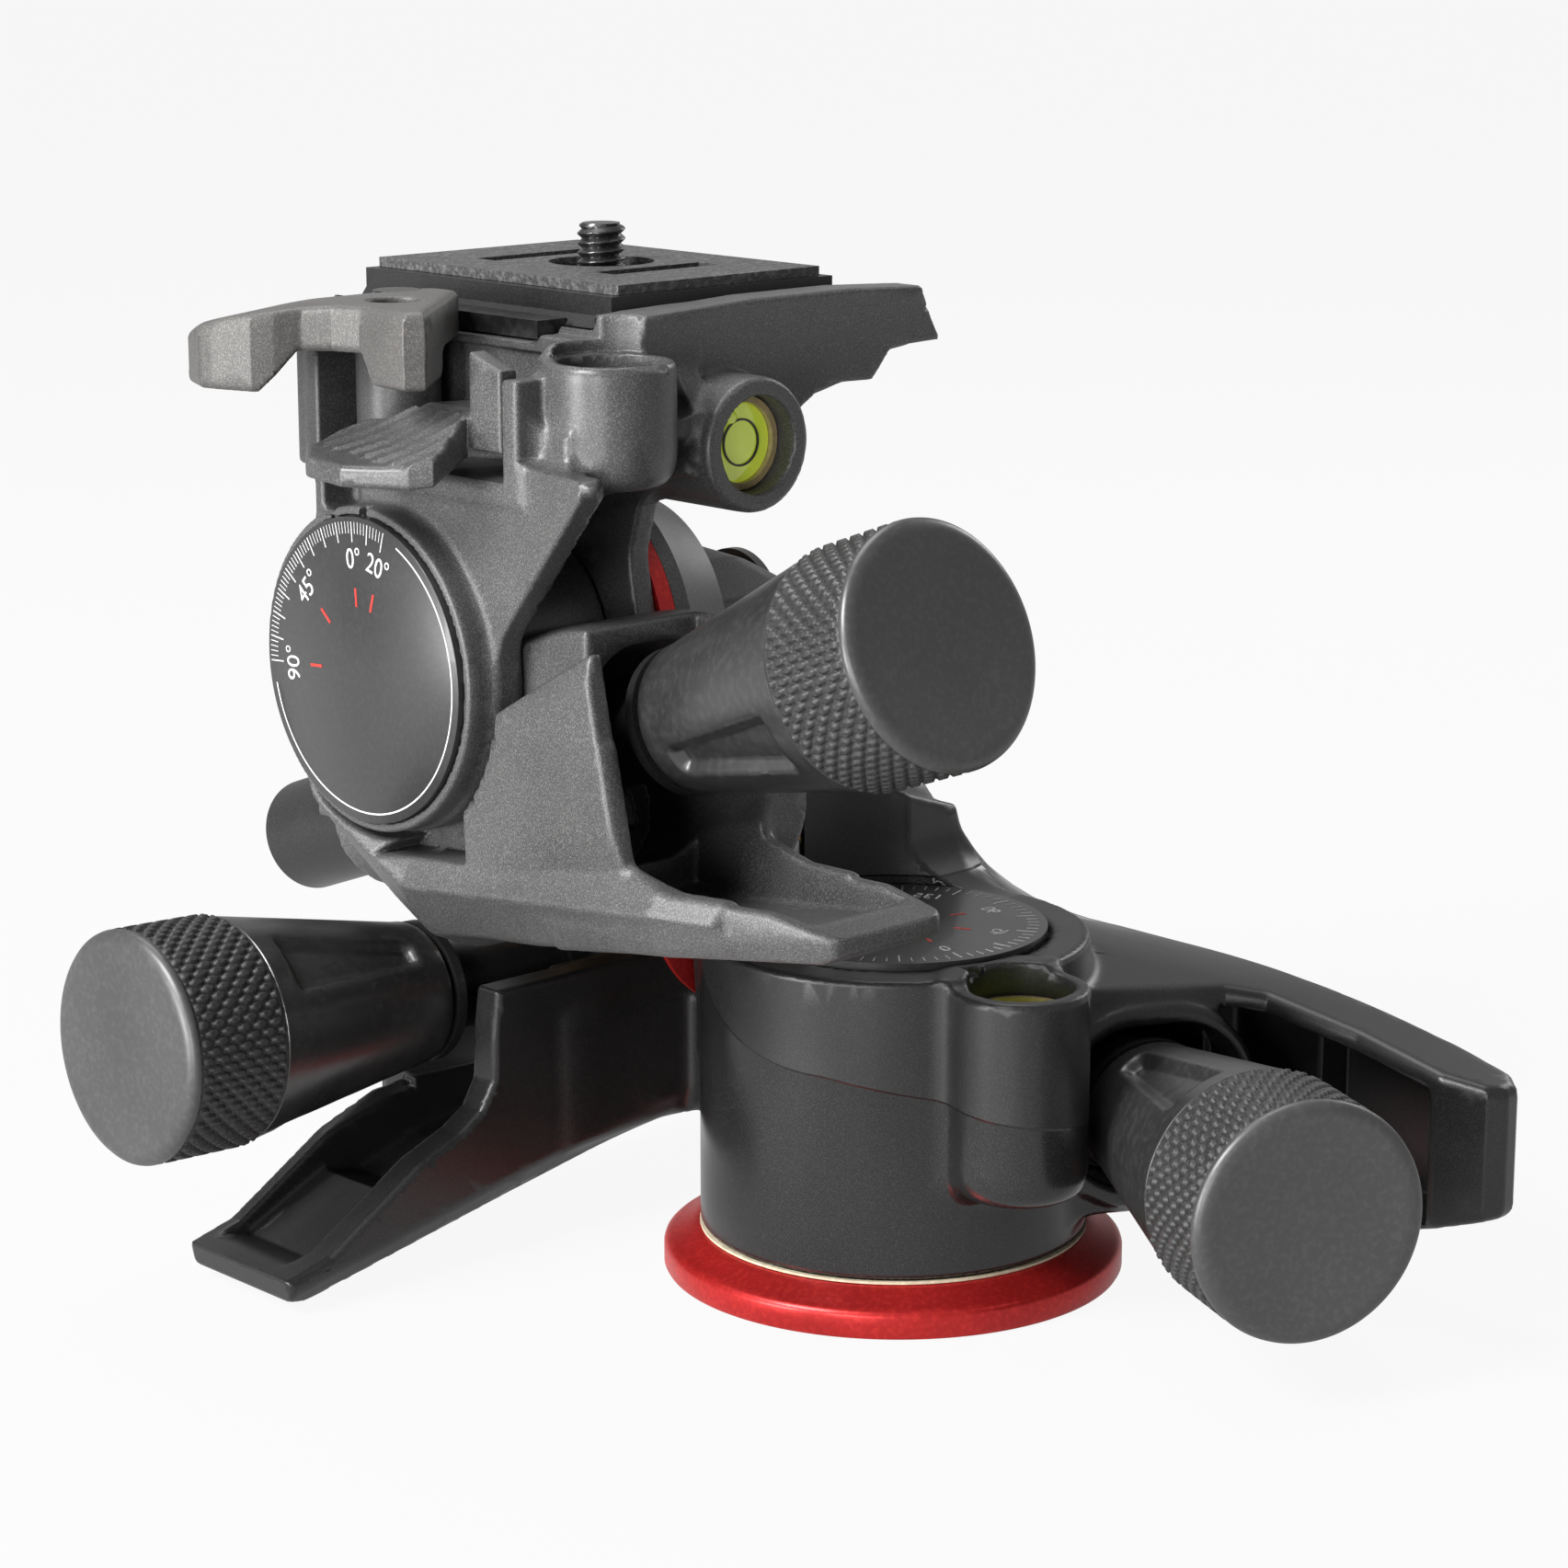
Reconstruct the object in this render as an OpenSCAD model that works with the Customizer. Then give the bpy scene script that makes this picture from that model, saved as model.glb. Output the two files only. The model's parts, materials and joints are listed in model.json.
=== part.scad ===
// Geared three-way tripod head, built as separate pieces.
// Millimetres, +Z up. The origin is the centre of the base flange's bottom face.
// X: front tilt axis (dial end is -X). Y: lateral tilt axis. Z: pan axis.

/* [Base] */
// diameter of the base flange
flange_d = 60; // [56:0.5:66]
// diameter of the pan housing's cylinder
body_d = 50.4; // [48:0.2:54]
// height of the pan housing's deck
deck_z = 43; // [42:0.5:44]

/* [Knobs] */
// diameter of each knob's cap
knob_d = 30; // [26:0.5:32]
// length of a knob from its collar to its cap
knob_l = 45.5; // [42:0.5:48]

/* [Plate] */
// length of the camera plate (along Y)
plate_l = 49.8; // [46:0.2:54]
// width of the camera plate (along X)
plate_w = 38; // [34:0.2:44]

/* [Dials] */
// diameter of the front dial
dial_d = 39.2; // [34:0.2:40]
// diameter of the pan dial
pan_dial_d = 39.4; // [32:0.2:40]

/* [Hidden] */
$fn = 72;
// running gap between parts that turn on each other
run = 0.06;
// front tilt axis: along X through this Y and Z
ay = 45;
az = 79.3;
// lateral tilt axis: along Y through this X and Z
lx = -2;
lz = 48.4;
// centre distance of the two tilt worm drives
cd = 16.5;
// plane of the front worm, and how far its knob rises
xa = -31;
ea = 20;
la = knob_l + 38;
// plane of the lateral worm, and how far its knob rises
yb = 52;
eb = 2;
lb = knob_l + 36;
// tilt wheels: teeth, module, face width
nt = 48;
mt = 0.5;
wt = 4;
rt = nt * mt / 2;
// pan wheel likewise; it fills the drum up to its wall and a gap
drum_wall = 1.6;
wheel_gap = 0.6;
np = 48;
mp = (body_d / 2 - drum_wall - wheel_gap) / (np / 2 + 1);
wp = 5;
rp = np * mp / 2;
// pitch radii of the worms
wr_t = cd - rt;
wr_p = 4.92;
// pan worm: centre distance, height and angle from -Y towards -X
cdc = rp + wr_p;
zc = 23.8;
tc = 24;
lc = knob_l + 21.4;
// pivot of each worm carrier behind its worm
piv = 20;
// knob radii
kr = knob_d / 2;
kn = 9.6;
// camera plate: its middle along X and Y
px = -7.8;
py = 48.5;
// camera screw's axis
cx = -7;
cy = 48.5;
// accessory socket: axis, mouth and bore
sx = -34.4;
sy = 15.2;
sz = 120.1;
sr = 6.45;

// ---- frames of the three worm units: z out to the knob, y to the wheel ----
module at_a() translate([xa, ay - cd * sin(ea), az - cd * cos(ea)]) rotate([90 - ea, 0, 0]) children();
module at_b() translate([lx - cd * sin(eb), yb, lz - cd * cos(eb)]) rotate([90 - eb, 0, -90]) children();
module at_c() translate([cdc * cos(tc), -cdc * sin(tc), zc])
    rotate([0, 0, -tc]) rotate([0, -90, 0]) rotate([90, 0, 0]) children();

// ---- shared shapes ----
module rod_x(x0, x1, r) translate([x0, 0, 0]) rotate([0, 90, 0]) cylinder(h = x1 - x0, r = r);
module rod_y(y0, y1, r) translate([0, y1, 0]) rotate([90, 0, 0]) cylinder(h = y1 - y0, r = r);
module rod_z(z0, z1, r) translate([0, 0, z0]) cylinder(h = z1 - z0, r = r);
// a YZ outline drawn as (y, z), thick from x0 to x1
module slab_x(x0, x1) translate([x0, 0, 0]) rotate([90, 0, 90]) linear_extrude(x1 - x0) children();
// an XZ outline drawn as (x, z), thick from y0 to y1
module slab_y(y0, y1) translate([0, y1, 0]) rotate([90, 0, 0]) linear_extrude(y1 - y0) children();

// gear wheel with straight teeth; a gap is centred on -y
module gear2d(n, m) {
    p = 360 / n;
    r = n * m / 2;
    polygon([for (i = [0:n - 1]) for (k = [0:3])
        let (a = -90 + p / 2 + i * p + p * [-0.27, -0.11, 0.11, 0.27][k],
             q = r + m * [-1.2, 0.9, 0.9, -1.2][k]) [q * cos(a), q * sin(a)]]);
}
// one unbroken screw ridge round z, centred on +y at z = 0
module ridge(pitch, r0, r1, w0, w1, turns, seg) {
    n = floor(turns * seg);
    pts = [for (i = [0:n]) let (a = 90 + 360 * (i - n / 2) / seg, z = pitch * (i - n / 2) / seg)
        each [[r0 * cos(a), r0 * sin(a), z - w0], [r1 * cos(a), r1 * sin(a), z - w1],
              [r1 * cos(a), r1 * sin(a), z + w1], [r0 * cos(a), r0 * sin(a), z + w0]]];
    side = [for (i = [0:n - 1]) for (k = [0:3]) let (a = 4 * i + k, b = 4 * i + (k + 1) % 4)
        each [[a, b, b + 4], [a, b + 4, a + 4]]];
    polyhedron(pts, concat([[3, 2, 1, 0]], side, [[4 * n, 4 * n + 1, 4 * n + 2, 4 * n + 3]]));
}
// torsion spring round the x axis: one tube, closed curls between two straight legs
module tspring(r, wire, pitch, curls, leg) {
    n = curls * 8;
    ring = function(a, x, s) [for (k = [0:5]) let (q = r + wire * cos(60 * k))
        [x + wire * sin(60 * k), q * cos(a) - s * sin(a), q * sin(a) + s * cos(a)]];
    pts = concat(ring(0, -pitch * curls / 2, -leg),
        [for (i = [0:n]) each ring(360 * i / 8, pitch * (i / 8 - curls / 2), 0)],
        ring(0, pitch * curls / 2, leg));
    side = [for (i = [0:n + 1]) for (k = [0:5]) let (a = 6 * i + k, b = 6 * i + (k + 1) % 6)
        each [[a, b, b + 6], [a, b + 6, a + 6]]];
    echo(least_gap = pitch - 2 * wire);
    polyhedron(pts, concat([[5, 4, 3, 2, 1, 0]], side, [[for (k = [0:5]) 6 * (n + 2) + k]]));
}
module worm(l, rw, m) {
    union() {
        translate([0, 0, -8.5]) cylinder(h = 17, r = rw - 1.15 * m);
        translate([0, 0, -13]) cylinder(h = 5, r = 2.4);
        translate([0, 0, 8]) cylinder(h = l - 6 - 8, r = 3);
        ridge(PI * m, rw - 1.15 * m - 0.3, rw + 0.9 * m, PI * m * 0.25, PI * m * 0.10,
              (m < 0.7 ? 6 : 3.4), 20);
    }
}
// worm carrier: bearing block on a cross pin, open towards the wheel, with a
// nose tube and a flange just behind the knob
module carrier(l, rw, m, rwheel) {
    ro = rw + 0.9 * m + 0.5;
    re = l - knob_l - 0.7;
    difference() {
        union() {
            translate([0, 0, -14.5]) cylinder(h = 28, r = ro + 1.5);
            translate([0, 0, 13]) cylinder(h = re - 13, r = 6);
            translate([0, 0, re - 1.4]) cylinder(h = 1.4, r = kn - 0.2);
            translate([-5.9, -3.5, -piv - 3.2]) cube([11.8, 7, 12]);
        }
        translate([0, 0, -9]) cylinder(h = 18, r = ro);
        translate([-ro - 2, 0, -9]) cube([2 * ro + 4, ro + 3, 18]);
        translate([0, 0, -13.6]) cylinder(h = 6, r = 2.4 + run);
        translate([0, 0, 8]) cylinder(h = l, r = 3 + run);
        translate([0, 0, -piv]) rod_x(-12, 12, 1.5 + run);
        translate([-3.9, -5, -piv - 5]) cube([7.8, 10, 9.4]);
        translate([0, rw + rwheel, 0]) rod_x(-9, 9, rwheel + 0.9 * m + 0.6);
    }
}
module pin() translate([0, 0, -piv]) rod_x(-8.2, 8.2, 1.5);
module return_spring() translate([0, 0, -piv]) tspring(2.2, 0.32, 1.1, 5, 2.6);
// room for a carrier: narrow round the wheel, wider towards the knob, and open
// on the side the knob is squeezed to
module room(l, half, wide, far, near = 10.6) {
    translate([-half, -near, -piv - 3.6]) cube([2 * half, near + 8.4, piv + 17]);
    translate([-wide, -far, 12]) cube([2 * wide, far + wide, l - 12]);
    translate([0, 0, -piv]) rod_x(-8.3, 8.3, 1.53);
}

module knob_body(l) {
    z0 = l - knob_l;
    difference() {
        rotate_extrude() polygon([[3.03, z0], [kn - 0.8, z0], [kn, z0 + 0.8], [kn + 0.1, z0 + 2],
            [kr - 0.9, l - 15.2], [kr - 1.2, l - 15.1], [kr - 1.2, l - 2.6], [3.03, l - 2.6]]);
        for (a = [30, 150, 270]) rotate([0, 0, a]) translate([0, 0, z0 + 5]) rotate([-6, 0, 0])
            translate([0, 8.6, 0]) rotate([90, 0, 180]) linear_extrude(10)
                polygon([[-2.6, 0], [2.6, 0], [5.4, 22.5], [-5.4, 22.5]]);
    }
}
module knob_grip(l) rotate_extrude() polygon([[kr - 1.15, l - 15], [kr - 0.25, l - 15],
    [kr, l - 14.6], [kr, l - 2.1], [kr - 0.2, l - 1.7], [kr - 1.15, l - 1.7]]);
module knob_cap(l) rotate_extrude() polygon([[0, l - 2.6], [kr - 1.25, l - 2.6], [kr - 1.25, l - 1.65],
    [kr - 0.1, l - 1.65], [kr, l - 1.3], [kr - 0.3, l - 0.5], [kr - 1.1, l], [kr - 2.4, l - 0.15], [0, l - 0.6]]);

// ================= base =================
module base_flange() color("firebrick") rotate_extrude() polygon([[7.05, 0], [flange_d / 2 - 0.5, 0],
    [flange_d / 2, 0.5], [flange_d / 2, 3.4], [flange_d / 2 - 0.4, 3.9], [25.8, 5.7], [9.5, 5.7], [9.5, 18.9],
    [6.05, 18.9], [6.05, 13.5], [7.05, 13.5]]);
module thread_bush() color("silver") difference() {
    cylinder(h = 13.4, r = 7);
    translate([0, 0, -1]) cylinder(h = 13, r = 4.76);
}
module pan_post() color("gray") rotate_extrude() polygon([[0, 13.5], [6, 13.5], [6, deck_z + 1.2],
    [3, deck_z + 1.2], [3, deck_z - 6], [0, deck_z - 6]]);
module pan_wheel() color("goldenrod") difference() {
    translate([0, 0, zc - wp / 2]) rotate([0, 0, 90 - tc]) linear_extrude(wp) gear2d(np, mp);
    cylinder(h = 60, r = 6.03);
}
module pan_dial() color("dimgray") difference() {
    translate([0, 0, deck_z + 1.25]) cylinder(h = 1.6, r = pan_dial_d / 2);
    cylinder(h = 60, r = 2.6);
}
module dial_screw() color("gray") rotate_extrude() polygon([[0, deck_z - 5], [2.5, deck_z - 5],
    [2.5, deck_z + 2.9], [4, deck_z + 2.9], [4, deck_z + 3.5], [0, deck_z + 3.5]]);
module seal_ring() color("tan") rotate_extrude() translate([body_d / 2 - 0.6, 5.75]) square([0.7, 0.3]);
module pan_bush() color("silver") difference() {
    translate([0, 0, deck_z - 9]) cylinder(h = 9, r = 7.97);
    cylinder(h = 60, r = 6 + run);
}

// ================= pan housing =================
br = body_d / 2;
// outline of the pan paddle in plan
c_out = [[18, 24], [27, 24], [40, 12], [44, 0], [41.5, -60], [40, -69], [37, -71.5], [33.5, -71],
    [31, -64], [33, -42], [33.5, -34], [29, -26], [18, -22]];
module pan_housing() color("dimgray") difference() {
    union() {
        translate([0, 0, 6.1]) cylinder(h = deck_z + 2 - 6.1, r = br);
        // level boss
        translate([-5.5, -27.6, 8.5]) cylinder(h = deck_z + 0.4 - 8.5, r = 8.7);
        // pan paddle, falling towards its tip
        intersection() {
            translate([0, 0, 9]) linear_extrude(60) polygon(c_out);
            slab_x(10, 50) polygon([[30, 9], [30, 54], [16, 52], [6, 46], [-20, 42.5], [-72, 33],
                [-72, 12.5], [-60, 9.5], [-20, 9]]);
        }
        // shell of the pan drive
        at_c() translate([-12.5, -13, -piv - 6]) cube([24, 22, piv + 6 + 18]);
        // front upright of the lateral tilt
        slab_y(13, 24.2) {
            translate([lx, lz]) circle(r = 17);
            polygon([[-13, 28], [-13, 48], [-9, 60], [10, 60], [25.5, 55], [28, 46], [28, 28]]);
        }
        // arm to the lateral drive, and its paddle
        translate([-4, 20, 13]) cube([24, 46, 16]);
        translate([-24, 36, 13]) cube([24, 30, 16]);
        slab_y(36, 64) polygon([[-35.2, 18], [-35.2, 34], [-30, 36.3], [20, 36.3], [20, 13], [0, 13], [-33, 7]]);
        slab_y(36, 58) polygon([[-70.6, 4.5], [-66.5, 0.7], [-63, 0.6], [-33, 6.5], [-30, 36.3],
            [-34, 36.3], [-34.4, 30], [-34.6, 20], [-37, 17.2], [-46, 16.2], [-66, 9.5]]);
    }
    // cavity round the wheel and post
    translate([0, 0, 5]) cylinder(h = deck_z - 5 - 10, r = rp + mp + wheel_gap);
    translate([0, 0, 5]) cylinder(h = 60, r = 8);
    translate([0, 0, deck_z + 1]) cylinder(h = 40, r = pan_dial_d / 2 + 0.35);
    // pocket for the level
    translate([-5.5, -27.6, deck_z - 5]) cylinder(h = 10, r = 6.65);
    // pan drive
    at_c() room(70, 8.6, 9.9, 12.4, 12.4);
    // hollow of the pan paddle, open towards the knob
    slab_x(25, 40.4) polygon([[-63, 14], [-63, 31.2], [-34, 36.4], [-34, 13.5]]);
    // lateral drive: room open upwards and towards the knob
    at_b() room(90, 7.7, 10.6, 13);
    at_b() translate([-7.7, 0, -piv - 3.6]) cube([15.4, 40, 44]);
    at_b() translate([-10.6, 0, 12]) cube([21.2, 40, 80]);
    slab_y(yb - 9, yb + 3.5) polygon([[-80, 10], [-64, 5], [-36, 12.5], [-24, 14], [-24, 60], [-90, 60]]);
    // lateral shaft, and the tilt body's hub behind the upright
    translate([lx, 0, lz]) rod_y(0, 80, 8);
    translate([lx, 0, lz]) rod_y(24.3, 49.3, 13);
    translate([lx, 0, lz]) rod_y(24.3, 25.3, 18.4);
    translate([lx, 0, lz]) rod_y(49, 57, 13.2);
    // seat of the rear bracket
    translate([-16, 57.6, 24]) cube([28, 10, 40]);
}
module rear_bracket() color("gray") difference() {
    slab_y(58, 63.8) {
        translate([lx, lz]) circle(r = 11.5);
        translate([-13.5, 24.3]) square([23, lz - 24.3]);
    }
    translate([lx, 0, lz]) rod_y(50, 70, 8.02);
    at_b() translate([-13, -10, -14]) cube([26, 18.5, 30]);
}
module pan_level() color("yellowgreen") translate([-5.5, -27.6, 0]) union() {
    translate([0, 0, deck_z - 4.9]) cylinder(h = 4.2, r = 6.6);
    translate([0, 0, deck_z - 0.8]) difference() {
        cylinder(h = 0.9, r = 6.6);
        translate([0, 0, -1]) cylinder(h = 3, r = 5.2);
    }
}
module bush(y0, y1) color("silver") difference() {
    translate([lx, 0, lz]) rod_y(y0, y1, 7.97);
    translate([lx, 0, lz]) rod_y(y0 - 1, y1 + 1, 6 + run);
}
module lateral_bush_front() bush(20.3, 24.1);
module lateral_bush_rear() bush(58, 63.8);
module carrier_pin_b() color("silver") at_b() pin();
module carrier_pin_c() color("silver") at_c() pin();
module spring_b() color("silver") at_b() return_spring();
module spring_c() color("silver") at_c() return_spring();

// ================= worm units on the housing =================
module carrier_c() color("gray") at_c() carrier(lc, wr_p, mp, rp);
module worm_c() color("silver") at_c() worm(lc, wr_p, mp);
module knob_c() color("#333333") at_c() knob_body(lc);
module grip_c() color("#222222") at_c() knob_grip(lc);
module cap_c() color("#444444") at_c() knob_cap(lc);
module carrier_b() color("gray") at_b() carrier(lb, wr_t, mt, rt);
module worm_b() color("silver") at_b() worm(lb, wr_t, mt);
module knob_b() color("#333333") at_b() knob_body(lb);
module grip_b() color("#222222") at_b() knob_grip(lb);
module cap_b() color("#444444") at_b() knob_cap(lb);

// ================= tilt body =================
module tilt_body() color("gray") difference() {
    union() {
        // shell below the dial, between x = -47 and the right cheek
        slab_x(-47, -22.5) polygon([[-16, 57.5], [-16, 54], [18.5, 47.2], [41, 44.8], [47, 48.5], [61, 62.5],
            [61, 70], [45, 70], [45, 85.5], [16, 85.5], [3, 75], [-1, 59], [-7, 57]]);
        // boss of the front tilt bearing
        translate([0, ay, az]) rod_x(-49.2, -40, 7.94);
        translate([0, ay, az]) rod_x(-41.4, -22.5, 16);
        // neck round the knob's shaft
        intersection() {
            at_a() translate([0, 0, -5]) cylinder(h = 46, r = 17);
            slab_x(-50, -14) polygon([[-1, 59], [3, 75], [16, 85.5], [40, 85.5], [40, 50], [-1, 50]]);
        }
        // knob paddle
        slab_x(-42, -21.5) polygon([[-31.3, 57], [-30.5, 54.3], [-28, 53.3], [0, 50.2], [12, 50], [12, 66],
            [2, 62], [-8, 58.5], [-20, 59.5], [-29, 58.5]]);
        // rear tube of the worm housing
        intersection() {
            at_a() translate([0, 0, -26.4]) cylinder(h = 29.4, r = 11);
            slab_x(-41.4, -22.5) square([100, 100]);
        }
        // bridge and hub on the lateral axis
        slab_y(25.2, 44.4) {
            translate([lx, lz]) circle(r = 11);
            polygon([[-24, 44.5], [-24, 57], [-10, 57], [lx, lz + 10.9], [lx, lz - 5], [-12, 43]]);
        }
        // right shoulder, carrying the outer end of the front shaft
        slab_x(-3.4, 13) polygon([[31, 52], [31, 86], [35, 89], [45, 90], [55, 88], [58, 84], [58, 66],
            [44, 57.5], [44.4, 52]]);
    }
    // recess of the platform's collar, and the sweep of its left leg
    translate([0, ay, az]) difference() {
        rod_x(-60, -41.5, 22.4);
        rod_x(-61, -40, 7.94);
    }
    slab_x(-60, -41.5) polygon([[45, 101], [26, 74.8], [-4, 92.4], [-4, 130], [90, 130], [90, 64.5], [60, 64.5]]);
    // sweep of the right leg and of the parts beyond it
    translate([0, ay, az]) rod_x(-22.4, -3.5, 22.2);
    slab_x(-22.4, -13) polygon([[30, 66], [22, 72], [-6, 90], [-6, 120], [90, 120], [90, 60], [60, 60]]);
    // triangular window
    slab_x(-60, -41.5) polygon([[27.4, 66], [26, 56.8], [41, 56.6]]);
    // chamfer of the lower outer edge
    slab_y(-40, 80) polygon([[-48, 40], [-44.5, 40], [-44.5, 49], [-48, 55]]);
    // worm drive
    at_a() room(60, 7.7, 9.9, 12.6);
    // rear cover's seat
    at_a() translate([0, 0, -60]) cylinder(h = 33.6, r = 7.8);
    // front wheel and shaft
    translate([0, ay, az]) rod_x(-33.6, -22, 13.1);
    translate([0, ay, az]) rod_x(-37, 20, 7);
    // lateral shaft, its wheel and the housing's upright
    translate([lx, 0, lz]) rod_y(20, 60, 6.03);
    translate([lx, 0, lz]) rod_y(-20, 25.1, 18.5);
    translate([lx, 0, lz]) rod_y(44.6, 70, 14);
    // trough of the knob paddle
    slab_x(-40.5, -23) polygon([[-27, 60], [-24, 56.3], [2, 53], [9.5, 53], [9.5, 80], [-10, 70]]);
    // room above the pan dial at the range's end
    cylinder(h = 50.5, r = 27);
    // seats of the outer bush
    translate([0, ay, az]) rod_x(-6, 10, 8);
    // relief that clears the lateral drive when the body lies on its side
    translate([7.2, 25, 50]) cube([10, 40, az - 50 - 8.1]);
}
module front_dial() color("dimgray") translate([0, ay, az]) difference() {
    rod_x(-50.7, -49.3, dial_d / 2);
    rod_x(-49.6, -49, 7);
}
module lateral_shaft() color("silver") translate([lx, 0, lz]) rod_y(20.4, 65.2, 6);
module lateral_wheel() color("goldenrod") difference() {
    at_b() translate([0, cd, 0]) rotate([0, 90, 0]) translate([0, 0, -wt / 2]) linear_extrude(wt) gear2d(nt, mt);
    translate([lx, 0, lz]) rod_y(40, 60, 6.03);
}
module lateral_ring() color("firebrick") translate([lx, 0, lz]) difference() {
    rod_y(24.4, 25.15, 18);
    rod_y(24, 26, 6.1);
}
module rear_cover() color("#222222") at_a() translate([0, 0, -46.5]) difference() {
    cylinder(h = 20.1, r = 7.6);
    translate([0, 0, 4]) cylinder(h = 30, r = 5.6);
}
module front_bush() color("silver") translate([0, ay, az]) difference() {
    rod_x(-3.3, 9.9, 7.97);
    rod_x(-6, 10.5, 5 + run);
}
module outer_cap() color("#333333") translate([0, ay, az]) rod_x(13.05, 14.4, 8.1);
module carrier_pin_a() color("silver") at_a() pin();
module spring_a() color("silver") at_a() return_spring();
module carrier_a() color("gray") at_a() carrier(la, wr_t, mt, rt);
module worm_a() color("silver") at_a() worm(la, wr_t, mt);
module knob_a() color("#333333") at_a() knob_body(la);
module grip_a() color("#222222") at_a() knob_grip(la);
module cap_a() color("#444444") at_a() knob_cap(la);

// ================= platform =================
module platform_body() color("gray") difference() {
    union() {
        // left leg and its collar round the dial
        slab_x(-46, -42) {
            translate([ay, az]) circle(r = 22);
            polygon([[60.4, 113.6], [60.4, 90], [59.6, 78], [27, 75], [25.2, 82.7], [6.1, 106.7], [6.1, 113.6]]);
        }
        translate([0, ay, az]) rod_x(-50, -42, 22);
        // right leg
        slab_x(-22.1, -18.6) {
            translate([ay, az]) circle(r = 21);
            polygon([[61, 113.6], [61, 88], [27, 73], [22, 84], [13, 113.6]]);
        }
        // head between the legs, and the plate's bed
        slab_y(19, 63.8) polygon([[-46, 102.5], [-46, 123.9], [-20, 123.9], [-18.6, 102.5]]);
        slab_y(20, 76.5) polygon([[-31, 115], [-31, 123.9], [15.4, 123.9], [15.4, 116], [9, 114], [-18, 106]]);
        // front wall, running out into the wing on the right
        slab_y(17.5, 22.5) polygon([[-37, 120], [-33.6, 123.6], [-24.6, 125.2], [-9, 125.6], [7.5, 125.5],
            [21.9, 124.8], [26.4, 117.4], [20, 117.2], [13.7, 115.6], [4.5, 111.9], [-14, 106], [-30, 104]]);
        // accessory socket and level tube
        translate([sx, sy, 0]) rod_z(104.5, sz, sr + 1.95);
        translate([-14.2, 0, 108.1]) rod_y(10.2, 28, 8.6);
    }
    translate([0, ay, az]) rod_x(-51, -49.2, 19.75);
    translate([0, ay, az]) rod_x(-51, -41, 8);
    // index notches
    translate([-52, ay - 0.6, az + 20]) cube([4, 1.2, 4]);
    translate([0, ay, az]) rod_x(-24, -18, 5.02);
    // bed of the plate, and the clamp jaw's slot
    translate([-35.5, 29.7, 120.9]) cube([6, 36.6, 4]);
    slab_y(22.6, 74.4) polygon([[-29.9, 120.9], [14.3, 120.9], [14.3, 121.6], [11.6, 124.1], [-30.2, 124.1]]);
    translate([cx, cy, 114.9]) cylinder(h = 10, r = 10.2);
    // window of the lock lever
    translate([-48, 20.5, 105]) cube([15, 40.5, 9.2]);
    translate([kx, ky, 0]) rod_z(103, 116.2, 2.03);
    translate([qx, qy, 0]) rod_z(116, 130, 3.03);

    // bores
    translate([sx, sy, 0]) rod_z(106.2, sz + 1, sr);
    translate([sx, sy, 0]) rod_z(sz, sz + 6, sr + 0.75);
    translate([-14.2, 0, 108.1]) rod_y(5, 18, 6.15);
    // corner that passes the rear cover at the range's end
    translate([-41.9, 60, 100]) cube([19.1, 20, 21]);
    // room for the left end of the bed under the quick lever
    translate([-52, 18, 121.8]) cube([21.4, 60, 6]);
}
module front_shaft() color("silver") translate([0, ay, az]) union() {
    rod_x(-34.5, 9.8, 5);
}
module front_wheel() color("goldenrod") difference() {
    at_a() translate([0, cd, 0]) rotate([0, 90, 0]) translate([0, 0, -wt / 2]) linear_extrude(wt) gear2d(nt, mt);
    translate([0, ay, az]) rod_x(-40, -20, 5.03);
}
module front_ring() color("firebrick") translate([0, ay, az]) difference() {
    rod_x(-18.5, -16, 21.7);
    rod_x(-19, -15, 5.03);
}
module end_cap() color("gray") translate([0, ay, az]) rotate([0, 90, 0]) difference() {
    rotate_extrude() polygon([[5.03, -15.9], [21.7, -15.9], [21.7, -13.5], [17.5, -4], [5.03, -4]]);
    rotate([0, 0, 110]) translate([18.5, -0.8, -17]) cube([5, 1.6, 10]);
}
module platform_level() color("yellowgreen") translate([-14.2, 0, 108.1]) difference() {
    rod_y(11.6, 17.9, 6.1);
    rod_y(11, 12.4, 4.9);
}
// ---- levers ----
// pivot of the quick lever, and of the lock lever, as (x, y)
qx = -39.5;
qy = 50.5;
kx = -38;
ky = 28;
module quick_lever() color("darkgray") difference() {
    union() {
        translate([0, 0, 122]) linear_extrude(4.4)
            polygon([[-34.2, 46], [-34.2, 50.5], [-35.6, 52.4], [-39.5, 58], [-45.6, 66.6], [-48, 68], [-58, 68], [-66, 61], [-67, 57],
                [-60, 50], [-56, 42], [-54, 30], [-50, 24], [-44, 24]]);
        translate([0, 0, 115]) linear_extrude(8)
            polygon([[-50, 66], [-58, 66], [-65, 60], [-66, 57], [-60, 50], [-56, 42], [-54, 30], [-51, 27],
                [-51, 44], [-53, 56]]);
    }
    translate([qx, qy, 0]) rod_z(100, 130, 3.05);
}
module quick_pin() color("silver") translate([qx, qy, 0]) union() {
    rod_z(116.5, 126.2, 3);
}
module lock_lever() color("darkgray") difference() {
    union() {
        translate([0, 0, 107.5]) linear_extrude(6.2)
            polygon([[-34.4, 22], [-34.4, 33], [-46.5, 36], [-52, 46], [-61, 42], [-62, 34], [-58, 22], [-50, 20]]);
    }
    translate([kx, ky, 0]) rod_z(100, 120, 2.05);
}
module lock_pin() color("silver") translate([kx, ky, 0]) rod_z(103.2, 116, 2);
module clamp_jaw() color("goldenrod") slab_y(30, 66) polygon([[-33.5, 121.2], [-30.3, 121.2], [-28.5, 123.2],
    [-28.7, 123.5], [-33.5, 123.5]]);

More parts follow.
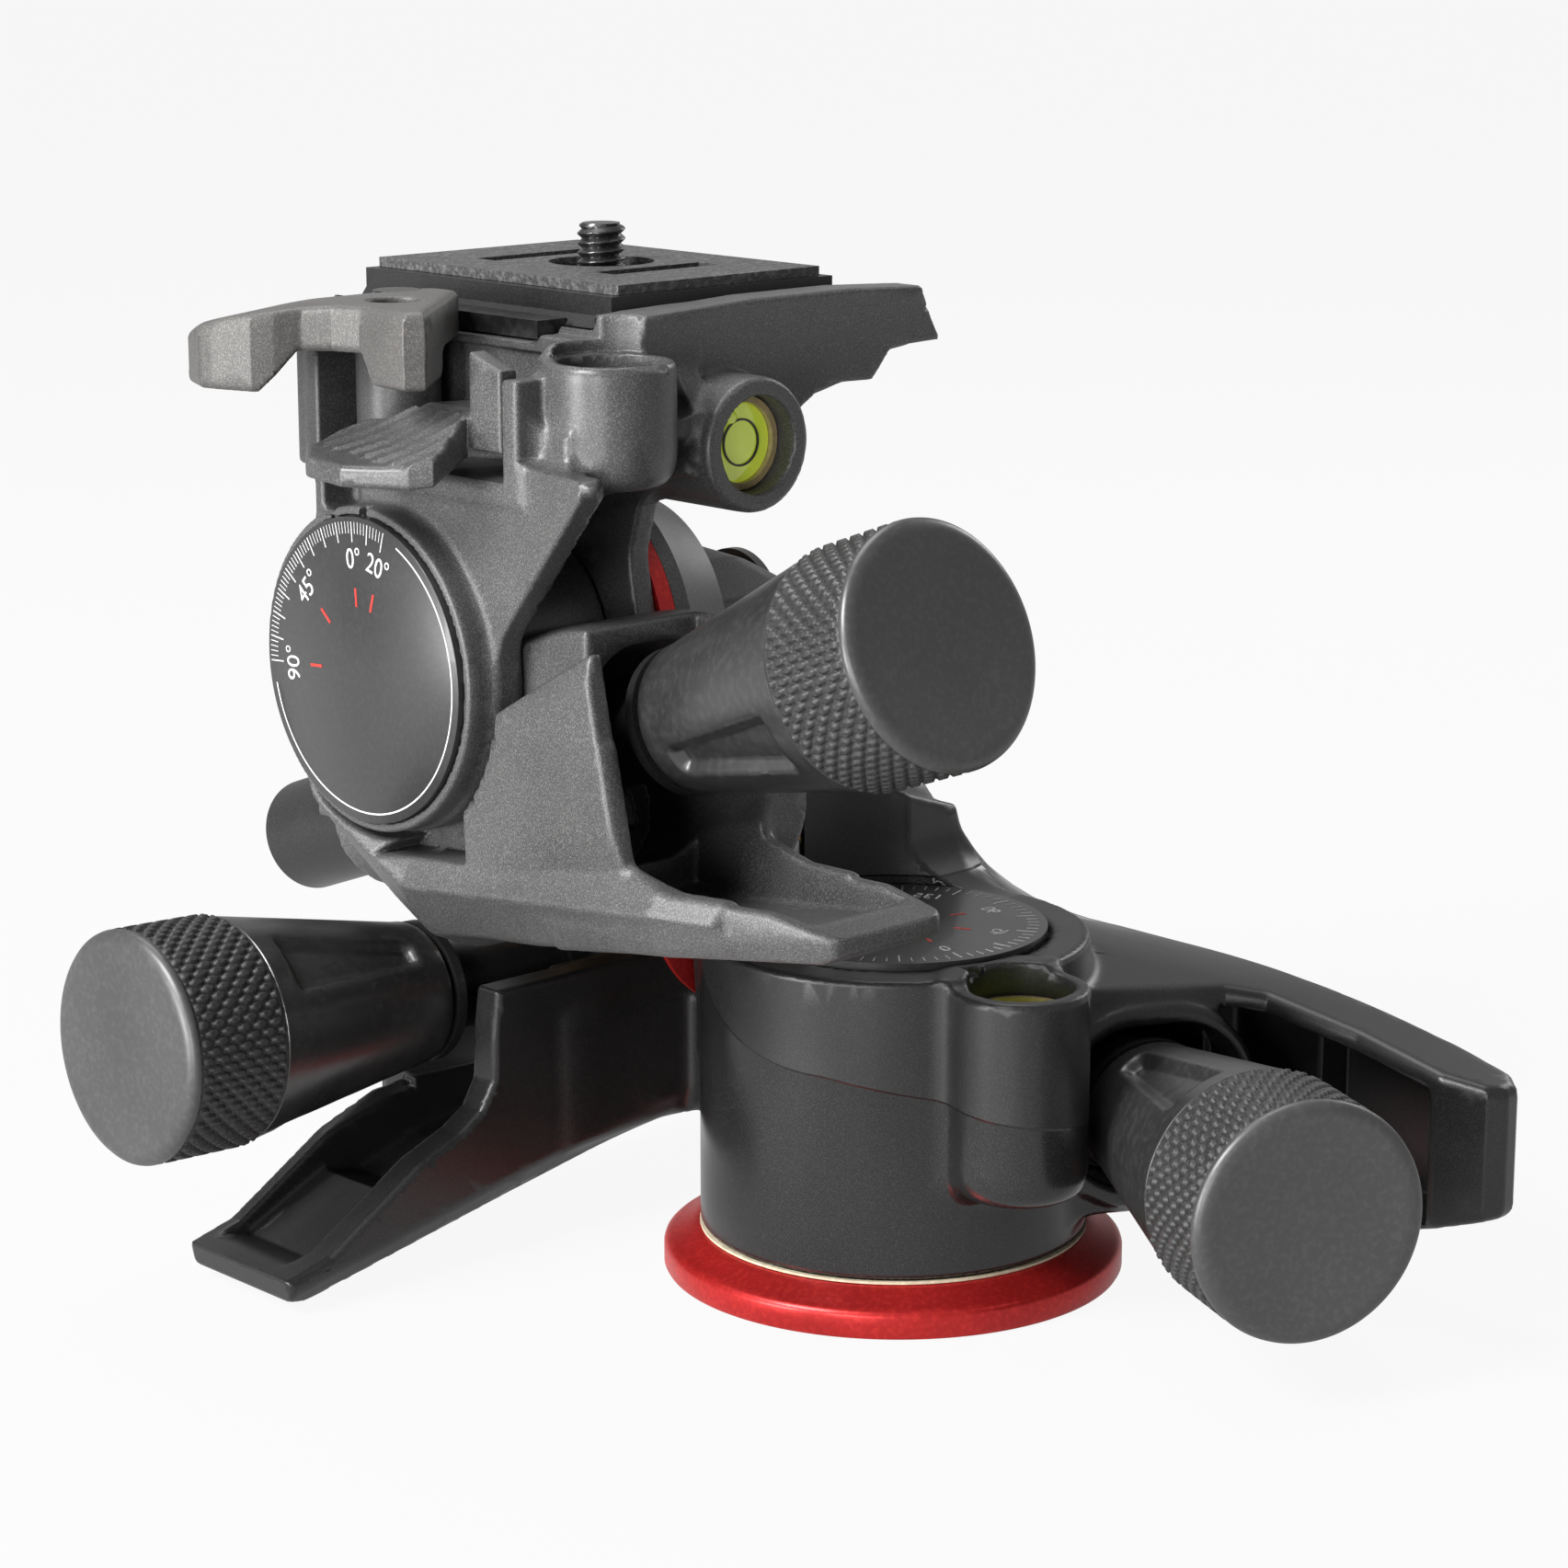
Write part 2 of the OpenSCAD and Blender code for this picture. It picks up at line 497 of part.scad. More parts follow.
// ================= camera plate =================
module camera_plate() color("dimgray") difference() {
    slab_y(py - plate_l / 2, py + plate_l / 2) polygon([[px - plate_w / 2 - 2.2, 121.1],
            [px + plate_w / 2 + 2.1, 121.1], [px + plate_w / 2, 123.9], [px + plate_w / 2, 126.4],
            [px - plate_w / 2, 126.4], [px - plate_w / 2, 123.9]]);
    translate([cx, cy, 0]) rod_z(118, 130, 3.4);
    translate([cx, cy, 0]) rod_z(118, 123.9, 10.2);
    // slots each side of the screw
    for (s = [-1, 1]) translate([px - 9, py + s * 12 - 2, 118]) cube([18, 4, 20]);
}
module plate_pad() color("#222222") difference() {
    translate([px - plate_w / 2 + 1.7, py - plate_l / 2 + 0.7, 126.45])
        cube([plate_w - 3.4, plate_l - 1.4, 1.25]);
    translate([cx, cy, 0]) rod_z(118, 130, 7);
    for (s = [-1, 1]) translate([px - 9, py + s * 12 - 2, 118]) cube([18, 4, 20]);
}
module camera_screw() color("#333333") translate([cx, cy, 0]) union() {
    rod_z(123, 126.4, 2.6);
    rod_z(126.3, 132.8, 3.175);
    rod_z(120.6, 123.6, 7.5);
}
module d_ring() color("silver") translate([cx, cy, 0]) difference() {
    rod_z(119, 120.4, 9.6);
    rod_z(118, 121, 7.4);
}

base_flange();
thread_bush();
pan_post();
pan_wheel();
pan_dial();
dial_screw();
seal_ring();
pan_bush();
pan_housing();
rear_bracket();
pan_level();
lateral_bush_front();
lateral_bush_rear();
carrier_pin_b();
carrier_pin_c();
spring_b();
spring_c();
carrier_c();
worm_c();
knob_c();
grip_c();
cap_c();
carrier_b();
worm_b();
knob_b();
grip_b();
cap_b();
tilt_body();
front_dial();
lateral_shaft();
lateral_wheel();
lateral_ring();
rear_cover();
front_bush();
outer_cap();
carrier_pin_a();
spring_a();
carrier_a();
worm_a();
knob_a();
grip_a();
cap_a();
platform_body();
front_shaft();
front_wheel();
front_ring();
end_cap();
platform_level();
quick_lever();
quick_pin();
lock_lever();
lock_pin();
clamp_jaw();
camera_plate();
plate_pad();
camera_screw();
d_ring();
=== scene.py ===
# %% [markdown]
# # A geared tripod head
# Three squeeze-release knobs drive a pan, a lateral tilt and a front tilt. The moulded bodies are modelled
# here as distance fields: a formula gives how far any point is from the surface, and the surface is where it
# is zero. Lengths inside the fields are in millimetres; every mesh is written in metres.
# %%
import json
import math
import bmesh
import bpy
import numpy as np
import openvdb
from mathutils import Matrix, Vector


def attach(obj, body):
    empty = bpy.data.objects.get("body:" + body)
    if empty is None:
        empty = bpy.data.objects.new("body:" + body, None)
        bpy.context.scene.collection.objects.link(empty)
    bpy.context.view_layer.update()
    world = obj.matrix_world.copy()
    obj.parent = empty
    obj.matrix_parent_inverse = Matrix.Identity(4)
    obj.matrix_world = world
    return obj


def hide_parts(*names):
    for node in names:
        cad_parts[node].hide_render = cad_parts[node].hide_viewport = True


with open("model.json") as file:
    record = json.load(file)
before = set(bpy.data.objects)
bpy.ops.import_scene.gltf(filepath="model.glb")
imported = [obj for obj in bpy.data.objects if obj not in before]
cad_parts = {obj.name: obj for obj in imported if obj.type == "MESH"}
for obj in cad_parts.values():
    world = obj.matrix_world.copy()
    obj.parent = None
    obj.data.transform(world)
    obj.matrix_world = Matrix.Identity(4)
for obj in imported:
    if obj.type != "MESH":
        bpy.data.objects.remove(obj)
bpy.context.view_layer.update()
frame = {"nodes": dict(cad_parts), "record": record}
MM = 0.001
COARSE = 1.0

# %% [markdown]
# ## The three axes and the three worm units
# The pan axis is Z. The front tilt turns about X and the lateral tilt about Y. The dial, the panel round it,
# the levels, the accessory socket, the camera screw and the two levers' pins are placed here, because
# several pieces share them. Each worm unit has a frame of its own: its third axis points out to the knob,
# its second towards the wheel.
# %%
TILT_Y, TILT_Z = 45.0, 79.3
LAT_X, LAT_Z = -2.0, 48.4
DIAL_X = -50.7
PANEL_X, INNER_X = -46.4, -22.5
LEVEL_X, LEVEL_Y = -5.5, -27.6
SOCKET_X, SOCKET_Y, SOCKET_TOP = -34.4, 15.2, 120.1
TUBE_X, TUBE_Z = -14.2, 108.1
SCREW_X, SCREW_Y = -7.0, 48.5
QUICK_X, QUICK_Y = -39.5, 50.5
LOCK_X, LOCK_Y = -38.0, 28.0


def unit_frame(foot, out, towards):
    """Origin and the rows (x, y, z) of a worm unit's frame, x = towards × out."""
    out, towards = np.array(out, float), np.array(towards, float)
    return np.array(foot, float), np.array([np.cross(towards, out), towards, out])


def slanted(angle):
    """(cos, sin) of an angle in degrees."""
    return math.cos(math.radians(angle)), math.sin(math.radians(angle))


CA, SA = slanted(20)
CB, SB = slanted(2)
CC, SC = slanted(24)
UNIT = {
    "a": unit_frame((-31, TILT_Y - 16.5 * SA, TILT_Z - 16.5 * CA), (0, -CA, SA), (0, SA, CA)),
    "b": unit_frame((LAT_X - 16.5 * SB, 52, LAT_Z - 16.5 * CB), (-CB, 0, SB), (SB, 0, CB)),
    "c": unit_frame((27 * CC, -27 * SC, 23.8), (-SC, -CC, 0), (-CC, SC, 0)),
}
REACH = {"a": 83.5, "b": 81.5, "c": 66.9}
KNOB_LENGTH = 45.5
PIVOT = 20.0


def local(p, unit):
    """Coordinates of p in a unit's frame; a zero direction cosine keeps the arrays thin."""
    foot, rows = UNIT[unit]
    q = [p[i] - foot[i] for i in range(3)]
    return tuple(sum(float(r[i]) * q[i] for i in range(3) if abs(r[i]) > 1e-9) for r in rows)


# %% [markdown]
# ## Distance fields
# Each shape returns a signed distance, negative inside. Unions and cuts are blended with a quadratic, which
# leaves a fillet about as wide as `k`.
# %%
def join(a, b, k=0.0):
    """Smaller of a and b, less h²k/4 where they differ by under k, h = 1 - |a-b|/k."""
    if k <= 0:
        return np.minimum(a, b)
    h = np.maximum(k - np.abs(a - b), 0) / k
    return np.minimum(a, b) - h * h * (k / 4)


def cut(a, b, k=0.0):
    """a without b."""
    return -join(-a, b, k)


def both(a, b, k=0.0):
    """Where a and b overlap."""
    return -join(-a, -b, k)


def convex(u, v, points, k=0.6):
    """Convex outline, points anticlockwise: the blended maximum of its edges' half planes."""
    d = None
    for (u0, v0), (u1, v1) in zip(points, points[1:] + points[:1]):
        length = math.hypot(u1 - u0, v1 - v0)
        side = ((u - u0) * (v1 - v0) - (v - v0) * (u1 - u0)) / length
        d = side if d is None else both(d, side, k)
    return d


def outline(u, v, points):
    """Any outline: the nearest edge's distance, with the sign from a crossing count."""
    best, inside = None, None
    for (u0, v0), (u1, v1) in zip(points, points[1:] + points[:1]):
        eu, ev = u1 - u0, v1 - v0
        t = np.clip(((u - u0) * eu + (v - v0) * ev) / (eu * eu + ev * ev), 0, 1)
        far = (u - u0 - eu * t) ** 2 + (v - v0 - ev * t) ** 2
        best = far if best is None else np.minimum(best, far)
        if ev:
            crosses = ((v0 <= v) != (v1 <= v)) & (u < u0 + (v - v0) * (eu / ev))
            inside = crosses if inside is None else inside ^ crosses
    return np.where(inside, -1.0, 1.0) * np.sqrt(best)


def slab(w, low, high):
    """Between two planes."""
    return np.abs(w - (low + high) / 2) - (high - low) / 2


def box(p, low, high, k=0.0):
    """Box with blended edges."""
    d = slab(p[0], low[0], high[0])
    for i in (1, 2):
        d = both(d, slab(p[i], low[i], high[i]), k)
    return d


def stadium(u, v, half, low, high, radius):
    """Rectangle |u| < half, low < v < high with round corners."""
    qu = np.abs(u) - half + radius
    qv = np.abs(v - (low + high) / 2) - (high - low) / 2 + radius
    return np.hypot(np.maximum(qu, 0), np.maximum(qv, 0)) + np.minimum(np.maximum(qu, qv), 0) - radius


# %% [markdown]
# ## From field to mesh
# The field is sampled on a grid and contoured, then every point is moved onto the true surface with
# three Newton steps, and the field's gradient becomes the shading normal.
# %%
def gradient(field, p, h=0.02):
    """Central differences of the field at p."""
    g = []
    for i in range(3):
        hi = [c + (h if i == j else 0) for j, c in enumerate(p)]
        lo = [c - (h if i == j else 0) for j, c in enumerate(p)]
        g.append((field(tuple(hi)) - field(tuple(lo))) / (2 * h))
    return np.stack(g, 1)


def field_mesh(name, field, low, high, step, adapt=0.01):
    """An object whose surface is field = 0 inside the box low..high, in millimetres."""
    step = step * COARSE
    axes = [np.arange(a - 2 * step, b + 3 * step, step) for a, b in zip(low, high)]
    p = (axes[0][:, None, None], axes[1][None, :, None], axes[2][None, None, :])
    shape = tuple(len(a) for a in axes)
    values = np.clip(np.broadcast_to(field(p), shape), -3 * step, 3 * step).astype(np.float32)
    grid = openvdb.FloatGrid(3 * step)
    grid.copyFromArray(np.ascontiguousarray(values))
    points, tris, quads = grid.convertToPolygons(isovalue=0.0, adaptivity=adapt)
    q = np.array([a[0] for a in axes]) + points.astype(float) * step
    for _ in range(3):
        c = tuple(q.T)
        g = gradient(field, c)
        d = field(c)
        q -= np.clip(d, -step, step)[:, None] * g / np.maximum((g * g).sum(1), 0.25)[:, None]
    normals = gradient(field, tuple(q.T))
    normals /= np.maximum(np.linalg.norm(normals, axis=1), 1e-6)[:, None]
    faces = [tuple(f) for f in quads.tolist()] + [tuple(f) for f in tris.tolist()]
    mesh = bpy.data.meshes.new(name)
    mesh.from_pydata((q * MM).tolist(), [], faces)
    centre, wanted = np.zeros(len(mesh.polygons) * 3), normals[[f[0] for f in faces]]
    mesh.polygons.foreach_get("normal", centre)
    if (centre.reshape(-1, 3) * wanted).sum() < 0:
        mesh.flip_normals()
    mesh.shade_smooth()
    mesh.normals_split_custom_set_from_vertices(normals.tolist())
    made = bpy.data.objects.new(name, mesh)
    bpy.context.scene.collection.objects.link(made)
    print(f"{name}: {len(q)} points, {len(faces)} faces, {shape}")
    return made


def lathe(name, profile, unit=None, around=96, bump=None, loop=False):
    """Turned from (radius, height) points, in a unit's frame or about Z; bump adds to the radius.

    A loop joins the last ring to the first; otherwise the two ends are closed with flat faces.
    """
    r, z = np.array(profile, float).T
    turn = np.linspace(0, 2 * math.pi, around, endpoint=False)
    a, rr = np.meshgrid(turn, r)
    _, zz = np.meshgrid(turn, z)
    if bump is not None:
        rr = rr + bump(a, zz)
    q = np.stack([rr * np.cos(a), rr * np.sin(a), zz], 2).reshape(-1, 3)
    if unit:
        foot, rows = UNIT[unit]
        q = foot + q @ rows
    n = len(r)
    i, j = np.meshgrid(np.arange(n if loop else n - 1), np.arange(around), indexing="ij")
    k, up = (j + 1) % around, (i + 1) % n
    quads = np.stack([i * around + j, i * around + k, up * around + k, up * around + j], 2).reshape(-1, 4)
    faces = quads.tolist()
    if not loop:
        faces += [list(range(around))[::-1], [(n - 1) * around + m for m in range(around)]]
    mesh = bpy.data.meshes.new(name)
    mesh.from_pydata((q * MM).tolist(), [], faces)
    mesh.shade_smooth()
    mesh.set_sharp_from_angle(angle=math.radians(38))
    made = bpy.data.objects.new(name, mesh)
    bpy.context.scene.collection.objects.link(made)
    return made


# %% [markdown]
# ## Tilt body
# A panelled shell with a ledge along its lower edge, a round neck for the knob's shaft, a knob paddle with a
# trough, and a shoulder on the far side that carries the outer end of the front shaft.
# %%
def ledge_height(y):
    """Height of the ledge's ridge along the body: straight stretches from the paddle's tip to the rear."""
    return np.interp(y, [-33, -7, 40, 45, 58, 64], [57.4, 57.0, 51.8, 54.0, 60.0, 62.8])


def tilt_body(p):
    """Shell, neck, paddle, hub and shoulder, less the rooms for what turns inside them."""
    x, y, z = p
    rise = z - ledge_height(y)
    inward = x + 49 - 0.29 * np.maximum(-7 - y, 0)
    outer = both(both((-inward * 3.1 + rise * 2.5) / 3.98, (-inward * 6.5 - rise * 4.2) / 7.74, 0.5),
                 x - INNER_X, 0.6)
    body_side = outline(y, z, [(-16.5, 53.6), (18.5, 47.2), (41, 44.7), (47, 48.5), (61.3, 62.6), (61.3, 66),
                               (40, 69), (20, 69), (-1, 61), (-9, 59.4), (-16, 59.5)])
    ledge = both(outer, body_side, 0.8)
    front = -0.975 * (y + 0.4) + 0.22 * (z - 60)
    panel = both(both(both(-(x - PANEL_X), front, 1.2), x - INNER_X, 1.0),
                 outline(y, z, [(-7, 57), (61, 57), (61.3, 68), (45, 70), (45, 77), (17, 76), (-7, 75)]), 0.8)
    lx, ly, lz = local(p, "a")
    neck = both(stadium(lx, ly, 16.4, -21, 15.2, 10.5), slab(lz, -6, 60), 1.0)
    neck = both(both(neck, front, 0.8), z - 87.8 + 0.02 * (y - 20), 1.6)
    shell = join(join(ledge, panel, 0.8), neck, 1.6)
    # knob paddle
    side = outline(y, z, [(-31.6, 57.4), (-31, 55), (-28.5, 53.6), (0, 50.4), (14, 48), (14, 64), (2, 61.8),
                          (-8, 58.8), (-22, 59.2)])
    plan = convex(x, y, [(-47, 14), (-47, -6), (-42.2, -29.4), (-40, -32), (-24.5, -32), (-22, -29.8),
                         (-21.4, 14)], 1.0)
    shell = join(shell, both(both(side, plan, 0.8), outer, 0.6), 1.2)
    # rear tube and hub
    rear = both(both(np.hypot(lx, ly) - 10.6, slab(lz, -27, 0), 0.8), slab(x, -41.3, -22.6), 0.8)
    boss = both(np.hypot(y - TILT_Y, z - TILT_Z) - 15.8, slab(x, -41.3, -22.6), 0.8)
    shell = join(join(shell, rear, 1.5), boss, 1.5)
    lateral_r = np.hypot(x - LAT_X, z - LAT_Z)
    hub = both(lateral_r - 10.9, slab(y, 25.4, 44.2), 0.6)
    bridge = both(outline(x, z, [(-26, 46), (-12, 43), (-2, 43), (-2, 59), (-10, 56.6), (-26, 56.6)]),
                  slab(y, 25.6, 44.2), 0.8)
    shell = join(shell, join(hub, bridge, 2), 2)
    arm = both(outline(y, z, [(31.4, 50), (44, 50), (44, 60.4), (57.8, 69.0), (57.8, 84), (54, 88),
                              (45, 89.8), (36, 88.4), (31.4, 84)]), slab(x, -3.2, 12.8), 1.4)
    arm = both(arm, 0.55 * (x - 8) + 0.83 * (z - 87.5), 1.5)
    arm = cut(arm, both(9.6 - x, z - 71.6), 0.4)
    shell = join(shell, arm, 2)
    # rooms and clearances
    axis_r = np.hypot(y - TILT_Y, z - TILT_Z)
    collar = both(both(axis_r - 22.5, 8.0 - axis_r), x + 41.5)
    shell = cut(shell, collar, 0.4)
    sweep = both(outline(y, z, [(45, 101), (26, 74.8), (-4, 92.4), (-4, 130), (90, 130), (90, 64.6),
                                (62, 64.6), (45, 79)]), x + 41.5)
    shell = cut(shell, sweep, 0.6)
    shell = cut(shell, both(axis_r - 22.3, slab(x, -22.4, -3.5)), 0.4)
    shell = cut(shell, both(outline(y, z, [(30, 66), (22, 72), (-6, 90), (-6, 120), (90, 120), (90, 60),
                                           (60, 60)]),
                            slab(x, -22.4, -13)), 0.4)
    opening = both(stadium(lx, ly, 10.5, -15.5, 10.7, 8.5), 13.0 - lz)
    shell = cut(shell, opening, 1.3)
    shell = cut(shell, both(stadium(lx, ly, 7.7, -11, 8.4, 1), slab(lz, -23.6, 16)))
    shell = cut(shell, both(np.hypot(lx, ly) - 7.8, lz + 26.5))
    window = both(convex(y, z, [(46, 54.8), (44.4, 56.6), (31.6, 65.8), (29.6, 66.6), (29.0, 56.4)], 0.5),
                  x + 41.4)
    shell = cut(shell, window, 0.7)
    trough = both(convex(y, z, [(-28.2, 58.8), (-21, 55.6), (4, 52.6), (12, 53), (12, 90), (-28, 90)], 0.8),
                  convex(x, y, [(-44.4, 12), (-44.4, -6), (-40, -27), (-24.2, -30), (-23.6, 12)], 1.0), 0.8)
    shell = cut(shell, trough, 0.8)
    shell = cut(shell, both(lateral_r - 18.5, y - 25.1), 0.4)
    shell = cut(shell, both(lateral_r - 14, slab(y, 44.6, 70)), 0.4)
    shell = cut(shell, both(np.hypot(x, y) - 27, z - 50.5), 0.6)
    shell = cut(shell, both(axis_r - 7, slab(x, -37, 20)))
    shell = cut(shell, both(axis_r - 13.1, slab(x, -33.6, -22)))
    return cut(shell, both(lateral_r - 6.03, slab(y, 20, 60)))


# %% [markdown]
# ## Pan housing
# One moulding: the drum over the base, the boss of the round level, the deck that runs out into a long hollow
# paddle, the upright and arm of the lateral tilt, and that tilt's own paddle.
# %%
def deck_top(x, y):
    """Height of the deck: level by the dial, falling outwards and towards the tip, rising to the upright."""
    outer = 43.2 - 0.30 * np.maximum(x - 24, 0)
    along = 38.6 + 0.155 * (y + 30)
    fade = np.clip((41 - x) / 14, 0, 1)
    return join(outer, along, 3) + 0.021 * np.maximum(y + 4, 0) ** 2 * fade


def swung(p, unit, degrees):
    """Coordinates in a unit's frame after its carrier is squeezed by some degrees about its pivot."""
    lx, ly, lz = local(p, unit)
    c, s = slanted(degrees)
    return lx, c * ly + s * (lz + PIVOT), c * (lz + PIVOT) - s * ly - PIVOT


def pan_drum(p):
    """Drum, level boss and the rim round the pan knob's opening."""
    x, y, z = p
    r = np.hypot(x, y)
    drum = both(r - 25.2, slab(z, 6.1, 45.0), 0.9)
    boss = both(both(np.hypot(x - LEVEL_X, y - LEVEL_Y) - 8.7, z - 44.2, 0.8), 17.2 - z, 4)
    lx, ly, lz = local(p, "c")
    rim = both(stadium(lx, ly, 13.2, -16, 13.2, 12.6), slab(lz, -4, 19.4), 1.2)
    back = both(stadium(lx, ly, 12.6, -13.35, 10, 6), slab(lz, -26, 6), 1.5)
    return join(join(join(drum, boss, 3.2), rim, 2.5), back, 3)


def pan_paddle(p):
    """Deck and paddle: plan outline under the deck's surface, hollow towards the knob, with a closed tip."""
    x, y, z = p
    plan = outline(x, y, [(0, 20), (-4, -12), (3.4, -23.4), (7.4, -22.6), (28, -31.8), (31.2, -36),
                          (32.2, -50), (31, -64), (33, -70), (35.4, -71.6), (37.8, -71.3), (40.2, -68.6),
                          (41.6, -60), (44, 0), (40, 12), (27, 24), (18, 24)])
    top = deck_top(x, y)
    under = both(9.2 - z, 0.30 * (-y - 58) + 0.95 * (11.0 - z), 1.0)
    body = both(both(plan, z - top, 1.6), under, 1.6)
    inner = both(both(x - 40.4, z - top + 2.7, 1.5), both(13.4 - z, -(y + 62.6), 1.0), 1.0)
    lx, ly, lz = local(p, "c")
    hollow = both(both(inner, 27.4 - np.hypot(x, y), 1.0), 5.5 - lz + 0 * lx, 1.0)
    rib = both(slab(y, -42.4, -41.2), 35.2 - x, 0.4)
    return cut(body, cut(hollow, rib, 0.6), 0.8)


def lateral_frame(p):
    """Upright in front of the hub, the arm behind it, and the lateral tilt's paddle with its trough."""
    x, y, z = p
    disc = np.hypot(x - LAT_X, z - LAT_Z) - 17
    flank = outline(x, z, [(-13, 26), (28, 26), (28, 46), (25, 55), (10, 60), (-9, 60), (-13, 48)])
    upright = both(both(join(disc, flank, 3), slab(y, 13, 24.1), 1.4), -(x + 13.5), 1)
    block = join(box(p, (-4, 20, 13), (20, 63.8, 30), 1.5), box(p, (-24, 36.4, 13), (20, 63.8, 30), 1.5), 2)
    side = outline(x, z, [(-71.2, 4.8), (-70.4, 1.8), (-67.2, 0.9), (-33, 7.6), (0, 13.4), (20, 13.4),
                          (20, 36.2), (-36.6, 36.2), (-37.4, 30), (-37.6, 24), (-39.6, 20.6), (-43, 18.4),
                          (-50, 15.6), (-57, 11.2), (-64.4, 6.6)])
    bevel = 0.82 * (36.0 - y) + 0.57 * (10.4 - z + 0.205 * (x + 35))
    paddle = both(both(side, slab(y, 36, 58), 0.9), bevel, 0.5)
    rear = both(both(side, -(x + 35.2), 0.5), slab(y, 50, 63.6), 0.9)
    arm = join(paddle, rear, 1)
    body = join(join(upright, block, 3), arm, 3)
    trough = both(outline(x, z, [(-90, 12), (-68, 5.4), (-63.6, 4.6), (-51, 10.6), (-45, 9.2), (-36, 12.4),
                                 (-24, 14), (-24, 70), (-90, 70)]), slab(y, 40.6, 55.4), 1.2)
    body = cut(body, trough, 0.8)
    sx, sy, sz = swung(p, "b", 5.5)
    cone = both(np.hypot(sx, sy) - (9.6 + 0.171 * np.maximum(sz - 38, 0) + 0.7), 33.6 - sz)
    return cut(body, cone, 0.6)


def seam_height(angle):
    """Height of the moulding line round the drum, by the angle in degrees: a parabola, then a slow fall."""
    return 32.3 + 0.0026 * np.clip(angle - 205, -75, 0) ** 2 - 0.08 * np.clip(angle - 205, 0, 75)


def pan_housing(p):
    """All of the housing, less the rooms for the dial, the wheel and the two drives."""
    x, y, z = p
    body = join(join(pan_drum(p), pan_paddle(p), 2.2), lateral_frame(p), 3.5)
    r = np.hypot(x, y)
    body = cut(body, both(r - 20.05, 44.0 - z), 0.5)
    body = cut(body, both(r - 23.6, slab(z, 0, 33)))
    body = cut(body, r - 8 + 0 * z)
    body = cut(body, both(np.hypot(x - LEVEL_X, y - LEVEL_Y) - 6.65, 38.4 - z), 0.5)
    notch = both(slab(np.hypot(x, y), 21.3, 22.9),
                 slab(np.cos(math.radians(-108)) * y - math.sin(math.radians(-108)) * x,
                                                      -1.4, 1.4))
    body = cut(body, both(both(notch, 44.2 - z), y), 0.2)
    lx, ly, lz = local(p, "c")
    body = cut(body, both(stadium(lx, ly, 10.7, -14.3, 10.7, 9.8), 10 - lz), 1.2)
    body = cut(body, both(stadium(lx, ly, 8.6, -12.2, 8.3, 1), slab(lz, -23.6, 14)))
    bx, by, bz = local(p, "b")
    body = cut(body, both(stadium(bx, by, 7.7, -10.6, 40, 1), slab(bz, -23.6, 14)))
    body = cut(body, both(stadium(bx, by, 10.6, -13, 40, 8), 12 - bz), 0.6)
    hub_r = np.hypot(x - LAT_X, z - LAT_Z)
    body = cut(body, both(hub_r - 13.2, slab(y, 24.3, 57)), 0.4)
    body = cut(body, both(hub_r - 18.4, slab(y, 24.3, 25.3)))
    body = cut(body, both(both(x - 12, -16 - x), both(57.6 - y, 24 - z)))
    return cut(body, both(hub_r - 8.0, 20.2 - y))


